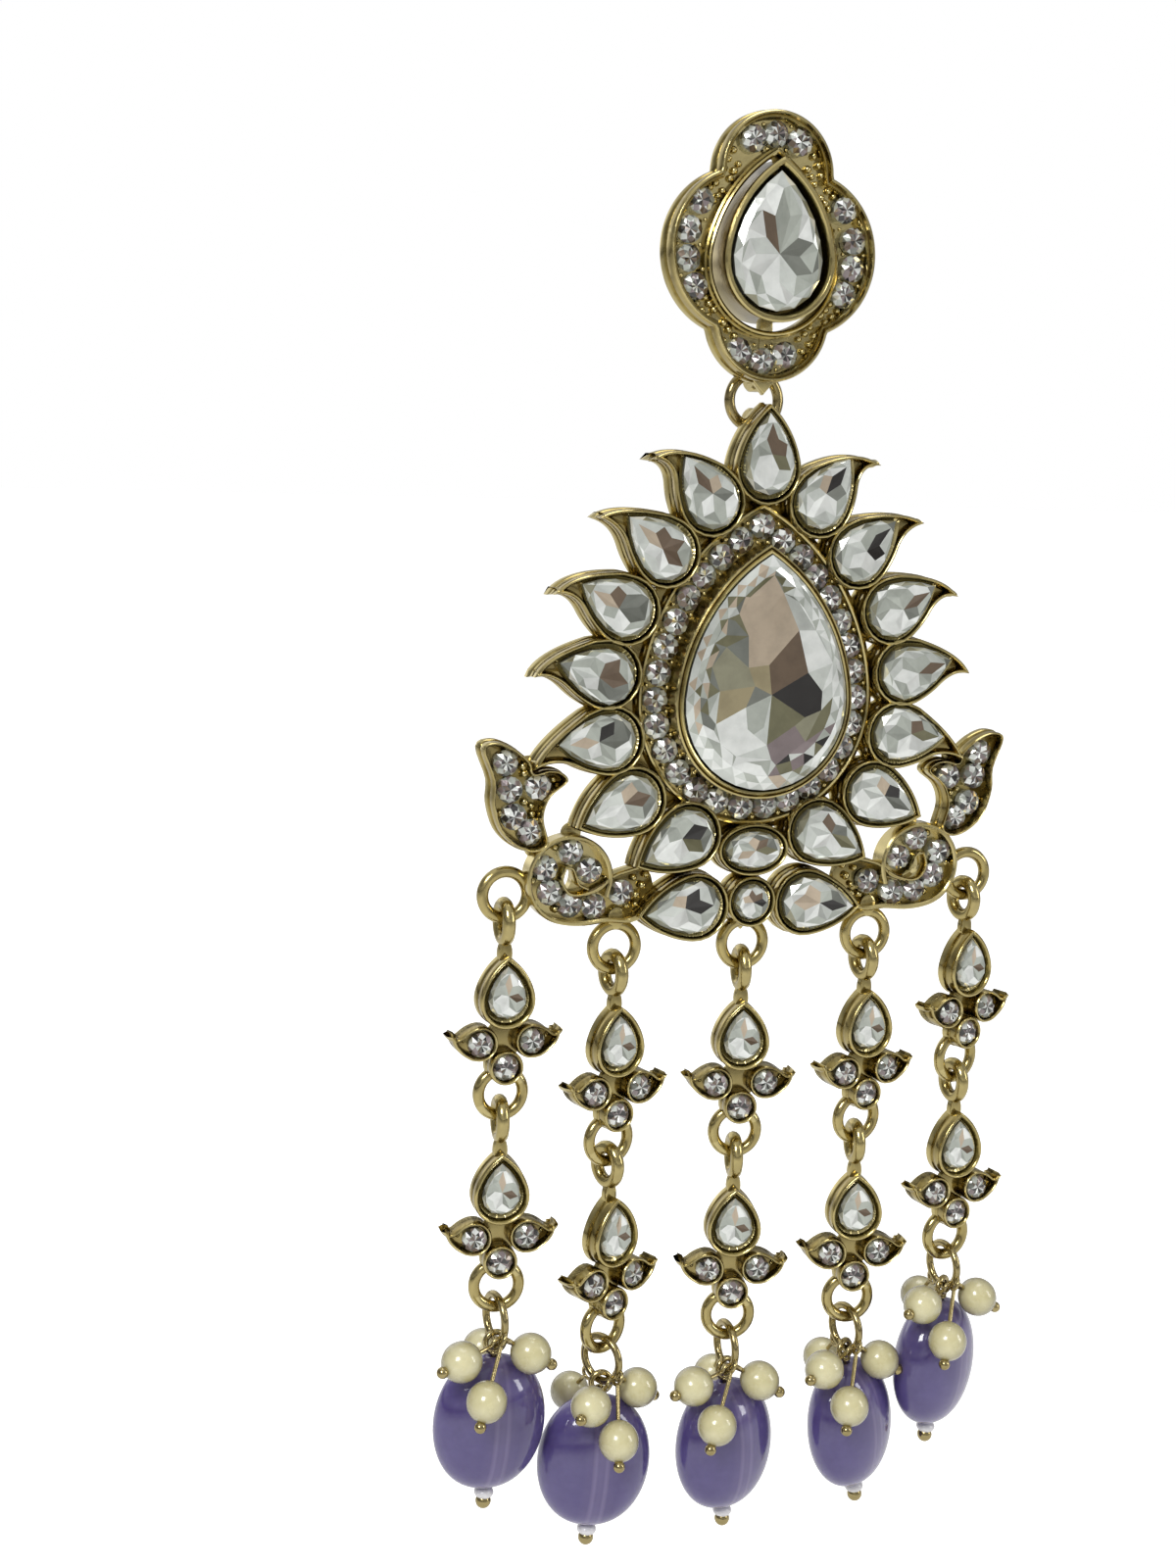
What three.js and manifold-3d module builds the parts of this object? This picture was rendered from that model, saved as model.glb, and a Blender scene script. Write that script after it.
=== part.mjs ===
// Chandelier earring in an antique gold finish: a quatrefoil stud, a jump ring, a cast frame of pear-shaped
// stones around a large centre stone, and five strands of two cast links, four pearls and a lavender bead.
//
// Millimetres. X is to the right, Z is up, and the front faces -Y. The origin is on the ear post's axis, at
// the face of its pad that rests on the ear lobe. "Forward" below is a distance from that face to the front.

import * as THREE from 'three';
import { mergeVertices } from 'three/addons/utils/BufferGeometryUtils.js';
import Module from 'manifold-3d';

const wasm = await Module();
wasm.setup();

// ---- driving dimensions ----

const WALL = 0.5; // cup walls
const STONE_GAP = 0.1; // between a stone and its cup
const CAST_BACK = 1.7; // forward distance of the back of both castings
const PEAR_WALL = 2.4; // how much longer a pear gets for each unit of wall around it
const CUT_FRONT = 8; // forward distance that every cut reaches, in front of everything
const WELD = 1e-5; // distance under which two vertices are one

const STUD = {
  rimFront: 3.6,
  opening: { width: 9.6, length: 12.4, z: 0.2, shoulder: 0.3 },
  lobes: [
    { x: 0, z: 5.05, radius: 4.45 },
    { x: -2.2, z: -0.45, radius: 5.9 },
    { x: 2.2, z: -0.45, radius: 5.9 },
    { x: 0, z: -5.07, radius: 4.53 },
  ],
  cup: { width: 8.6, length: 11.4, z: 0.35, shoulder: 0.2, back: 0.5, front: 4.7, floor: 2.3 },
  stone: { width: 7, length: 9.8, front: 4.9 },
  strut: { width: 1.1, from: -8, to: -4.6, front: 2.6 },
};
const POST = { radius: 0.4, length: 11, tipLength: 0.6, padRadius: 2.2, padThickness: 0.4 };

const RING = { radius: 1.95, wire: 0.4, forward: 0.85, topZ: -8.9 };
const HOLDER = { hole: 0.64, thickness: 1, studRadius: 1.35, frameRadius: 1.4 };

const FRAME_Z = -30.9; // height of the centre stone's middle
const CENTRE = { width: 14.1, length: 18.6, z: 0.3, back: CAST_BACK, front: 5.2, floor: 2.6, shoulder: 0.15 };
const CENTRE_STONE = { width: 12.9, length: 17.3, front: 6.1 };
const HALO = { width: 18.9, length: 23.85, z: 0.67, front: 3.5, floor: 3.0, rim: 0.4 };
const WEB = { width: 20.3, length: 25.2, front: 2.3 };
const PETAL = { stoneWidth: 4.2, stoneLength: 6.1, back: CAST_BACK, front: 4.1, floor: 2.6, shoulder: 0.35 };
const PETAL_STONE_FRONT = 4.5;
const OVAL = { width: 4.7, height: 3, z: -13.05 };
const ROUND = { diameter: 2.9, z: -17 };
const SPINE = { width: 1.4, height: 9, z: -15 }; // web behind the oval and the round cup
const SCROLL = {
  front: 3.6,
  radius: 3.15,
  x: 14.35,
  z: -14.85,
  hole: { x: 14.35, z: -14.9, width: 0.8, height: 1.6 },
};

const LINK_RING = { radius: 1.7, wire: 0.44 };
const RING_ROOT = { width: 1.5, height: 1.8, above: 2.2, beside: 2.2, lift: 0.4 }; // ties a cast ring in
const STRAND_FORWARD = 2.5; // the plane in which the rings that carry the strands lie
const LINK_PITCH = 14.8; // from one ring's centre to the next
const LINK_LOOP = { radius: 1.2, wire: 0.5, drop: 1.99 };
const LINK = {
  back: 2.2,
  front: 4,
  floor: 2.9,
  pear: { width: 4.2, length: 5.4, drop: 7, shoulder: 0.35 },
  leaf: {
    width: 2.6,
    length: 3.4,
    shoulder: 0.3,
    reach: 2,
    hook: 34,
    x: 2.35,
    drop: 10.75,
    turn: 96,
    front: 3.8,
  },
  round: { radius: 1.3, drop: 12.6 },
  neck: { width: 0.9, height: 1.8 },
  bridge: { width: 2.6, height: 3.4, drop: 10.8 },
  webFront: 3,
};
const LINK_STONE = { width: 3, length: 4, front: 4.1 };

const WIRE_RING = { radius: 1.75, wire: 0.3, drop: 2.6 };
const BEAD = { width: 8.8, thickness: 5.6, height: 10.3, drop: 10.7, hole: 0.5, lip: 0.15, fullness: 0.9 };
const BEAD_PIN = { wire: 0.24, loop: 0.76, loopDrop: 4.48, capRadius: 0.75, capLength: 0.8, ballRadius: 0.6 };
const PEARL = { radius: 1.52, pin: 0.3, pinReach: 2.2 };

// How many straight pieces stand for a pear's round end and for each of its sides.
const LARGE = { round: 16, side: 6 };
const MEDIUM = { round: 14, side: 4 };
const COMMON = { round: 7, side: 3 };
const SMALL = { round: 6, side: 2 };

// ---- tables ----

// Petals of one side, from the top down: the stone's middle measured from the centre stone, the turn of its
// tip off the vertical, and, on a hooked petal, how far its hook reaches and turns past the stone's tip.
const PETALS = [
  { x: 4.95, z: 13.5, turn: 36, reach: 4.7, hook: 28 },
  { x: 8.5, z: 9.6, turn: 50, reach: 4.9, hook: 19 },
  { x: 11.6, z: 5.3, turn: 60, reach: 4.7, hook: 23 },
  { x: 13.0, z: 0.4, turn: 77, reach: 4.6, hook: 18 },
  { x: 12.65, z: -4.7, turn: 95, reach: 5.2, hook: 17 },
  { x: 10.7, z: -9.5, turn: 114, reach: 0, hook: 0 },
  { x: 6.2, z: -12.3, turn: 118, reach: 0, hook: 0 },
  { x: 5.5, z: -17.35, turn: 96, reach: 0, hook: 0 },
];
const TOP_PETAL = { x: 0, z: 16.1, turn: 0, reach: 0, hook: 0 };

// Outline of one scroll's upright leaf, with its tip at the top and its beak towards the centre stone.
const SCROLL_LEAF = [
  { x: 21.2, z: -5.1 },
  { x: 20.2, z: -4.6 },
  { x: 18.8, z: -5.1 },
  { x: 17.6, z: -6.1 },
  { x: 17.3, z: -6.9 },
  { x: 16.2, z: -6.7 },
  { x: 15.2, z: -6.9 },
  { x: 14.7, z: -7.6 },
  { x: 16.0, z: -8.7 },
  { x: 16.5, z: -10.2 },
  { x: 16.1, z: -12.1 },
  { x: 17.2, z: -12.7 },
  { x: 18.6, z: -12.2 },
  { x: 19.8, z: -11.0 },
  { x: 20.4, z: -9.1 },
  { x: 20.4, z: -7.4 },
];
// Outline of the scroll's tail, between the curl and the lower petals.
const SCROLL_TAIL = [
  { x: 13.6, z: -18.0 },
  { x: 11.2, z: -17.8 },
  { x: 9.2, z: -17.9 },
  { x: 7.4, z: -16.2 },
  { x: 8.2, z: -14.0 },
  { x: 10.2, z: -14.5 },
  { x: 12.0, z: -15.2 },
];
// Small round webs that tie the scroll's leaf, its curl and the sixth petal to each other.
const SCROLL_WEBS = [
  { x: 13.9, z: -11.6, radius: 0.8 },
  { x: 16.6, z: -12.5, radius: 0.9 },
  { x: 17.3, z: -6.5, radius: 0.7 },
];

// Strands: where the cast ring that carries each is centred, measured from the centre stone, how far its
// two links, its pearls and its bead are turned about the vertical, and how far the bead leans, in degrees.
const STRANDS = [
  { name: 'left_outer', x: -19, z: -15.9, upper: 0, lower: -6, pearls: 6, bead: 4, lean: 3 },
  { name: 'left_inner', x: -10.4, z: -20.2, upper: 12, lower: 20, pearls: 28, bead: -8, lean: 4 },
  { name: 'centre', x: 0, z: -20.4, upper: -8, lower: -12, pearls: 0, bead: 18, lean: -1 },
  { name: 'right_inner', x: 10.4, z: -20.2, upper: 8, lower: -8, pearls: 10, bead: 30, lean: -7 },
  { name: 'right_outer', x: 19, z: -15.9, upper: 14, lower: 6, pearls: 8, bead: 32, lean: 4 },
];

// Pearls of a strand, seen in the strand's own frame: their middle, and where on the wire ring their pin
// starts, as an angle from the ring's lowest point towards the front.
const PEARLS = [
  { x: -3.6, forward: 2.2, drop: 4.6, start: 35 },
  { x: 2.1, forward: 1.9, drop: 5, start: 52 },
  { x: -2.3, forward: 3.9, drop: 7.2, start: 68 },
  { x: 0.6, forward: -3.7, drop: 6.6, start: -40 },
];

// ---- materials ----

const gold = new THREE.MeshStandardMaterial({ color: 0xb08d45, roughness: 0.35, metalness: 1 });
const wireGold = new THREE.MeshStandardMaterial({ color: 0xc2a05a, roughness: 0.28, metalness: 1 });
const crystal = new THREE.MeshStandardMaterial({ color: 0xe4e6e2, roughness: 0.05, metalness: 0.2 });
const pearl = new THREE.MeshStandardMaterial({ color: 0xe9e0c2, roughness: 0.3, metalness: 0 });
const lavender = new THREE.MeshStandardMaterial({ color: 0x7a66b4, roughness: 0.15, metalness: 0 });

// ---- solids ----

const radians = THREE.MathUtils.degToRad;

// A three.js geometry as a manifold solid.
function solid(geometry) {
  const bare = geometry.clone();
  bare.deleteAttribute('normal');
  bare.deleteAttribute('uv');
  const welded = mergeVertices(bare, WELD);
  const mesh = new wasm.Mesh({
    numProp: 3,
    vertProperties: Float32Array.from(welded.attributes.position.array),
    triVerts: Uint32Array.from(welded.index.array),
  });
  return new wasm.Manifold(mesh);
}

// A manifold solid as a three.js geometry.
function geometryOf(manifold) {
  const mesh = manifold.getMesh();
  const geometry = new THREE.BufferGeometry();
  geometry.setAttribute('position', new THREE.BufferAttribute(mesh.vertProperties, 3));
  geometry.setIndex(new THREE.BufferAttribute(mesh.triVerts, 1));
  geometry.computeVertexNormals();
  return geometry;
}

function joined(solids) {
  return solids.reduce((whole, next) => whole.add(next));
}

// A plate of the given outline, standing in the XZ plane between two forward distances.
function plate(points, back, front) {
  const shape = new THREE.Shape(points.map((p) => new THREE.Vector2(p.x, p.z)));
  const geometry = new THREE.ExtrudeGeometry(shape, { depth: front - back, bevelEnabled: false });
  geometry.rotateX(Math.PI / 2);
  geometry.translate(0, -back, 0);
  return geometry;
}

// A closed round wire ring. Its hole runs along Y, or along X where `edgeOn` is true.
function wireRing(radius, wire, around, section, edgeOn = false) {
  const geometry = new THREE.TorusGeometry(radius, wire, section, around);
  geometry.rotateX(Math.PI / 2);
  if (edgeOn) {
    geometry.rotateZ(Math.PI / 2);
  }
  return geometry;
}

// A straight pin between two points.
function pin(from, to, radius, sides = 5) {
  const along = new THREE.Vector3().subVectors(to, from);
  const geometry = new THREE.CylinderGeometry(radius, radius, along.length(), sides);
  geometry.translate(0, along.length() / 2, 0);
  const turn = new THREE.Quaternion().setFromUnitVectors(new THREE.Vector3(0, 1, 0), along.normalize());
  geometry.applyQuaternion(turn);
  geometry.translate(from.x, from.y, from.z);
  return geometry;
}

function ball(radius, x, y, z, around = 8, rows = 5) {
  const geometry = new THREE.SphereGeometry(radius, around, rows);
  geometry.rotateX(Math.PI / 2);
  geometry.translate(x, y, z);
  return geometry;
}

// ---- outlines, as points of x and z ----

// A pear with its tip up, centred on its own height. The shoulder, from 0 to 1, straightens its sides.
function pear(width, length, shoulder, steps = COMMON) {
  const r = width / 2;
  const tip = length - r;
  const rise = shoulder * Math.asin(r / tip);
  const sine = Math.sin(rise);
  const side = (r * r + tip * tip - 2 * r * tip * sine) / (2 * (r - tip * sine));
  const sideX = -(side - r) * Math.cos(rise);
  const sideZ = -(side - r) * sine;
  const end = Math.atan2(tip - sideZ, -sideX);
  const points = [];
  for (let i = 0; i < steps.side; i += 1) {
    const angle = end + ((rise - end) * i) / steps.side;
    points.push({ x: -(sideX + side * Math.cos(angle)), z: sideZ + side * Math.sin(angle) });
  }
  for (let i = 0; i <= steps.round; i += 1) {
    const angle = Math.PI - rise + ((Math.PI + 2 * rise) * i) / steps.round;
    points.push({ x: r * Math.cos(angle), z: r * Math.sin(angle) });
  }
  for (let i = 1; i < steps.side; i += 1) {
    const angle = rise + ((end - rise) * i) / steps.side;
    points.push({ x: sideX + side * Math.cos(angle), z: sideZ + side * Math.sin(angle) });
  }
  const middle = length / 2 - r;
  return points.map((p) => ({ x: p.x, z: p.z - middle }));
}

// The pear that lies a wall outside another one, or inside it where the wall is negative.
function pearAround(width, length, wall, shoulder, steps = COMMON) {
  return pear(width + 2 * wall, length + PEAR_WALL * wall, shoulder, steps);
}

function ellipse(width, height, steps, x = 0, z = 0) {
  return Array.from({ length: steps }, (_, i) => {
    const angle = (2 * Math.PI * i) / steps;
    return { x: x + (width / 2) * Math.cos(angle), z: z + (height / 2) * Math.sin(angle) };
  });
}

// A pear whose tip is drawn out into a hook that curls to the right, as on a leaf.
function hookedPear(width, length, shoulder, reach, hook, roundSteps = COMMON.round) {
  const body = pear(width, length, shoulder, { round: roundSteps, side: 4 });
  const tip = { x: reach * Math.sin(radians(hook)), z: reach * Math.cos(radians(hook)) };
  const outerCurve = new THREE.QuadraticBezierCurve(
    new THREE.Vector2(tip.x, tip.z),
    new THREE.Vector2(-0.05 * width, 0.56 * length),
    new THREE.Vector2(body[3].x, body[3].z),
  );
  const last = body[body.length - 2];
  const innerCurve = new THREE.QuadraticBezierCurve(
    new THREE.Vector2(last.x, last.z),
    new THREE.Vector2(0.16 * width, 0.44 * length),
    new THREE.Vector2(tip.x, tip.z),
  );
  const outer = outerCurve.getPoints(2).map((p) => ({ x: p.x, z: p.y }));
  const inner = innerCurve.getPoints(2).map((p) => ({ x: p.x, z: p.y }));
  return [...outer.slice(0, -1), ...body.slice(3, -2), ...inner.slice(0, -1)];
}

// Turns an outline clockwise by an angle in degrees and moves it.
function placed(points, turn, x, z) {
  const c = Math.cos(radians(turn));
  const s = Math.sin(radians(turn));
  return points.map((p) => ({ x: x + p.x * c + p.z * s, z: z - p.x * s + p.z * c }));
}

function mirrored(points) {
  return points.map((p) => ({ x: -p.x, z: p.z })).reverse();
}

function onFrame(points) {
  return points.map((p) => ({ x: p.x, z: p.z + FRAME_Z }));
}

// A stone: its outline is full at the girdle and drawn in towards the front and the back.
function stone(points, back, front, tableShare = 0.6) {
  const shape = new THREE.Shape(points.map((p) => new THREE.Vector2(p.x, p.z)));
  const depth = front - back;
  const geometry = new THREE.ExtrudeGeometry(shape, { depth, steps: 2, bevelEnabled: false });
  const middle = new THREE.Vector2();
  points.forEach((p) => middle.add(new THREE.Vector2(p.x, p.z)));
  middle.divideScalar(points.length);
  const position = geometry.attributes.position;
  for (let i = 0; i < position.count; i += 1) {
    const atGirdle = Math.abs(position.getZ(i) - depth / 2) < depth / 8;
    const share = atGirdle ? 1 : tableShare;
    position.setX(i, middle.x + (position.getX(i) - middle.x) * share);
    position.setY(i, middle.y + (position.getY(i) - middle.y) * share);
  }
  geometry.rotateX(Math.PI / 2);
  geometry.translate(0, -back, 0);
  return geometry;
}

// ---- pieces ----

// A ring-shaped holder, with its hole along X, that reaches into the back of a casting.
function holder(outerRadius, z) {
  const eye = new THREE.CylinderGeometry(outerRadius, outerRadius, HOLDER.thickness, 14);
  eye.rotateZ(Math.PI / 2);
  eye.translate(0, -RING.forward, z);
  const hole = new THREE.CylinderGeometry(HOLDER.hole, HOLDER.hole, 2 * HOLDER.thickness, 12);
  hole.rotateZ(Math.PI / 2);
  hole.translate(0, -RING.forward, z);
  return solid(eye).subtract(solid(hole));
}

function studFrame() {
  const { opening, lobes, cup, strut } = STUD;
  const leaves = joined(
    lobes.map((lobe) => {
      const outline = ellipse(2 * lobe.radius, 2 * lobe.radius, 28, lobe.x, lobe.z);
      return solid(plate(outline, CAST_BACK, STUD.rimFront));
    }),
  );
  const window = placed(pear(opening.width, opening.length, opening.shoulder, MEDIUM), 0, 0, opening.z);
  const outside = placed(pear(cup.width, cup.length, cup.shoulder, MEDIUM), 0, 0, cup.z);
  const inside = placed(pearAround(cup.width, cup.length, -WALL, cup.shoulder, MEDIUM), 0, 0, cup.z);
  const strutOutline = [
    { x: -strut.width / 2, z: strut.from },
    { x: strut.width / 2, z: strut.from },
    { x: strut.width / 2, z: strut.to },
    { x: -strut.width / 2, z: strut.to },
  ];
  return leaves
    .subtract(solid(plate(window, 0, CUT_FRONT)))
    .add(solid(plate(outside, cup.back, cup.front)))
    .add(solid(plate(strutOutline, CAST_BACK, strut.front)))
    .subtract(solid(plate(inside, cup.floor, CUT_FRONT)))
    .add(holder(HOLDER.studRadius, RING.topZ));
}

function studStone() {
  const { cup, stone: size } = STUD;
  const outline = placed(pear(size.width, size.length, cup.shoulder, MEDIUM), 0, 0, cup.z);
  return stone(outline, cup.floor + STONE_GAP, size.front);
}

// The post with its pad, turned about the Y axis. Its profile starts and ends on the axis.
function earPost() {
  const { radius, length, tipLength, padRadius, padThickness } = POST;
  const profile = [
    new THREE.Vector2(0, -padThickness),
    new THREE.Vector2(padRadius, -padThickness),
    new THREE.Vector2(padRadius, 0),
    new THREE.Vector2(radius, 0),
    new THREE.Vector2(radius, length - tipLength),
    new THREE.Vector2(0, length),
  ];
  return new THREE.LatheGeometry(profile, 16);
}

function jumpRing() {
  const geometry = wireRing(RING.radius, RING.wire, 16, 6);
  geometry.translate(0, -RING.forward, RING.topZ - RING.radius);
  return geometry;
}

// Outlines of a petal's cup and of the pocket for its stone, on the frame.
function petalOutlines(petal) {
  const { stoneWidth: width, stoneLength: length, shoulder } = PETAL;
  const outside = petal.reach
    ? hookedPear(width + 2 * WALL, length + PEAR_WALL * WALL, shoulder, petal.reach, petal.hook)
    : pearAround(width, length, WALL, shoulder);
  const inside = pearAround(width, length, STONE_GAP, shoulder, SMALL);
  const gem = pearAround(width, length, -STONE_GAP, shoulder, SMALL);
  return [outside, inside, gem].map((points) => placed(points, petal.turn, petal.x, petal.z));
}

// All petals of the frame as outlines, with the name that their stone gets.
function allPetals() {
  const petals = [{ name: 'top', outlines: petalOutlines(TOP_PETAL) }];
  PETALS.forEach((petal, i) => {
    const right = petalOutlines(petal);
    petals.push({ name: `left_${i + 1}`, outlines: right.map(mirrored) });
    petals.push({ name: `right_${i + 1}`, outlines: right });
  });
  return petals;
}

// One scroll of the right side: its leaf, curl, tail and small webs.
function scroll(side) {
  const turned = (points) => onFrame(side > 0 ? points : mirrored(points));
  const curl = ellipse(2 * SCROLL.radius, 2 * SCROLL.radius, 14, SCROLL.x, SCROLL.z);
  const hole = ellipse(SCROLL.hole.width, SCROLL.hole.height, 8, SCROLL.hole.x, SCROLL.hole.z);
  const outlines = [SCROLL_LEAF, SCROLL_TAIL.slice().reverse(), curl];
  const parts = outlines.map((points) => solid(plate(turned(points), CAST_BACK, SCROLL.front)));
  SCROLL_WEBS.forEach((web) => {
    const outline = ellipse(2 * web.radius, 2 * web.radius, 6, web.x, web.z);
    parts.push(solid(plate(turned(outline), CAST_BACK, WEB.front)));
  });
  return joined(parts).subtract(solid(plate(turned(hole), 0, CUT_FRONT)));
}

// A cast ring that carries a strand, with a short root up into the frame.
function castRing(strand) {
  const ring = wireRing(LINK_RING.radius, LINK_RING.wire, 10, 5);
  ring.translate(strand.x, -STRAND_FORWARD, strand.z + FRAME_Z);
  const isOuter = Math.abs(strand.x) > SCROLL.x;
  const rootX = isOuter ? strand.x - Math.sign(strand.x) * RING_ROOT.beside : strand.x;
  const rootZ = strand.z + (isOuter ? RING_ROOT.lift : RING_ROOT.above);
  const root = ellipse(RING_ROOT.width, RING_ROOT.height, 6, rootX, rootZ);
  return solid(ring).add(solid(plate(onFrame(root), CAST_BACK, STRAND_FORWARD + LINK_RING.wire)));
}

// The outlines a wall outside the oval and the round stone below the halo.
function ovalAround(wall) {
  return ellipse(OVAL.width + 2 * wall, OVAL.height + 2 * wall, 14, 0, OVAL.z);
}

function roundAround(wall) {
  return ellipse(ROUND.diameter + 2 * wall, ROUND.diameter + 2 * wall, 14, 0, ROUND.z);
}

function mainFrame() {
  const { shoulder } = CENTRE;
  const at = (points, z) => onFrame(placed(points, 0, 0, z));
  const haloOuter = pear(HALO.width, HALO.length, shoulder, LARGE);
  const haloInner = pearAround(HALO.width, HALO.length, -HALO.rim, shoulder, LARGE);
  const cupOuter = pear(CENTRE.width, CENTRE.length, shoulder, LARGE);
  const cupInner = pearAround(CENTRE.width, CENTRE.length, -WALL, shoulder, LARGE);
  const web = pear(WEB.width, WEB.length, shoulder, MEDIUM);
  const petals = allPetals();
  const spine = ellipse(SPINE.width, SPINE.height, 8, 0, SPINE.z);

  const halo = solid(plate(at(haloOuter, HALO.z), CAST_BACK, HALO.front))
    .subtract(solid(plate(at(haloInner, HALO.z), HALO.floor, CUT_FRONT)))
    .add(solid(plate(at(web, HALO.z), CAST_BACK, WEB.front)))
    .add(solid(plate(at(cupOuter, CENTRE.z), CENTRE.back, CENTRE.front)));
  const cups = [
    ...petals.map((petal) => petal.outlines[0]),
    ovalAround(WALL),
    roundAround(WALL),
  ].map((points) => solid(plate(onFrame(points), PETAL.back, PETAL.front)));
  const pockets = [
    ...petals.map((petal) => petal.outlines[1]),
    ovalAround(STONE_GAP),
    roundAround(STONE_GAP),
  ].map((points) => solid(plate(onFrame(points), PETAL.floor, CUT_FRONT)));

  return joined([
    halo,
    ...cups,
    solid(plate(onFrame(spine), CAST_BACK, WEB.front)),
    scroll(1),
    scroll(-1),
    ...STRANDS.map(castRing),
    holder(HOLDER.frameRadius, RING.topZ - 2 * RING.radius),
  ])
    .subtract(solid(plate(at(cupInner, CENTRE.z), CENTRE.floor, CUT_FRONT)))
    .subtract(joined(pockets));
}

// The stones of the frame, each a gap above the bottom of its pocket and inside its walls.
function frameStones() {
  const back = PETAL.floor + STONE_GAP;
  const stones = allPetals().map((petal) => ({
    name: `petal_stone_${petal.name}`,
    geometry: stone(onFrame(petal.outlines[2]), back, PETAL_STONE_FRONT),
  }));
  const centre = pear(CENTRE_STONE.width, CENTRE_STONE.length, CENTRE.shoulder, LARGE);
  const centrePoints = onFrame(placed(centre, 0, 0, CENTRE.z));
  stones.push({
    name: 'centre_stone',
    geometry: stone(centrePoints, CENTRE.floor + STONE_GAP, CENTRE_STONE.front),
  });
  const oval = onFrame(ovalAround(-STONE_GAP));
  const round = onFrame(roundAround(-STONE_GAP));
  stones.push({ name: 'oval_stone', geometry: stone(oval, back, PETAL_STONE_FRONT) });
  stones.push({ name: 'round_stone', geometry: stone(round, back, PETAL_STONE_FRONT) });
  return stones;
}

// One cast link, hanging from a ring whose centre is the link's own origin.
function link() {
  const { back, front, floor, pear: cup, leaf, round, neck, bridge, webFront } = LINK;
  const loop = wireRing(LINK_LOOP.radius, LINK_LOOP.wire, 9, 5, true);
  loop.translate(0, 0, -LINK_LOOP.drop);
  const ring = wireRing(LINK_RING.radius, LINK_RING.wire, 10, 5);
  ring.translate(0, 0, -LINK_PITCH);
  const shift = STRAND_FORWARD;
  const outside = placed(pear(cup.width, cup.length, cup.shoulder, SMALL), 0, 0, -cup.drop);
  const pocket = pearAround(LINK_STONE.width, LINK_STONE.length, STONE_GAP, cup.shoulder, SMALL);
  const inside = placed(pocket, 0, 0, -cup.drop);
  const neckOutline = ellipse(neck.width, neck.height, 6, 0, -cup.drop + cup.length / 2);
  const leafShape = hookedPear(leaf.width, leaf.length, leaf.shoulder, leaf.reach, leaf.hook, 4);
  const rightLeaf = placed(mirrored(leafShape), leaf.turn, leaf.x, -leaf.drop); // its hook curls up
  const leaves = [rightLeaf, mirrored(rightLeaf)];
  const bridgeOutline = ellipse(bridge.width, bridge.height, 6, 0, -bridge.drop);
  const roundCup = ellipse(2 * round.radius, 2 * round.radius, 10, 0, -round.drop);
  return joined([
    solid(loop),
    solid(ring),
    solid(plate(outside, back - shift, front - shift)),
    solid(plate(neckOutline, back - shift, webFront - shift)),
    ...leaves.map((points) => solid(plate(points, back - shift, leaf.front - shift))),
    solid(plate(bridgeOutline, back - shift, webFront - shift)),
    solid(plate(roundCup, back - shift, front - shift)),
  ]).subtract(solid(plate(inside, floor - shift, CUT_FRONT)));
}

function linkStone() {
  const { width, length, front } = LINK_STONE;
  const { shoulder, drop } = LINK.pear;
  const outline = placed(pearAround(width, length, -STONE_GAP, shoulder, SMALL), 0, 0, -drop);
  return stone(outline, LINK.floor + STONE_GAP - STRAND_FORWARD, front - STRAND_FORWARD);
}

// An oval bead with a hole down its axis. Its profile closes on itself, and it is flattened front to back.
function bead() {
  const half = BEAD.height / 2;
  const widest = BEAD.width / 2;
  const steps = 7;
  const profile = [];
  for (let i = 0; i <= steps; i += 1) {
    const angle = -Math.PI / 2 + (Math.PI * i) / steps;
    const r = Math.max(BEAD.hole + BEAD.lip, widest * Math.cos(angle) ** BEAD.fullness);
    profile.push(new THREE.Vector2(r, half * Math.sin(angle)));
  }
  profile.push(new THREE.Vector2(BEAD.hole, half));
  profile.push(new THREE.Vector2(BEAD.hole, -half));
  profile.push(profile[0].clone());
  const geometry = new THREE.LatheGeometry(profile, 12);
  geometry.rotateX(Math.PI / 2);
  geometry.scale(1, BEAD.thickness / BEAD.width, 1);
  geometry.translate(0, 0, -BEAD.drop);
  return geometry;
}

// The headpin through a bead: its loop, the rod, the small cap bead and the ball end.
function beadPin() {
  const { wire, loop, loopDrop, capRadius, capLength, ballRadius } = BEAD_PIN;
  const eye = wireRing(loop, wire, 8, 5);
  eye.translate(0, 0, -loopDrop);
  const beadEnd = BEAD.drop + BEAD.height / 2 + STONE_GAP;
  const top = new THREE.Vector3(0, 0, -loopDrop - loop);
  const cap = new THREE.Vector3(0, 0, -beadEnd);
  const end = new THREE.Vector3(0, 0, -beadEnd - capLength);
  return joined([
    solid(eye),
    solid(pin(top, end, wire)),
    solid(pin(cap, end, capRadius, 8)),
    solid(ball(ballRadius, 0, 0, end.z - ballRadius / 2)),
  ]);
}

// Four pearls on their pins, which spread from the wire ring that also carries the bead's pin.
function pearlCluster() {
  const { radius, wire, drop } = WIRE_RING;
  const ring = wireRing(radius, wire, 10, 5, true);
  ring.translate(0, 0, -drop);
  const parts = [solid(ring)];
  PEARLS.forEach((row) => {
    const angle = radians(row.start);
    const start = new THREE.Vector3(0, -radius * Math.sin(angle), -drop - radius * Math.cos(angle));
    const middle = new THREE.Vector3(row.x, -row.forward, -row.drop);
    const along = new THREE.Vector3().subVectors(middle, start).normalize();
    const end = middle.clone().addScaledVector(along, PEARL.pinReach);
    parts.push(solid(pin(start, end, PEARL.pin, 4)));
    parts.push(solid(ball(PEARL.radius, middle.x, middle.y, middle.z)));
  });
  return joined(parts);
}

// ---- the scene graph ----

function piece(name, geometry, material) {
  const mesh = new THREE.Mesh(geometry, material);
  mesh.name = name;
  return mesh;
}

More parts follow.
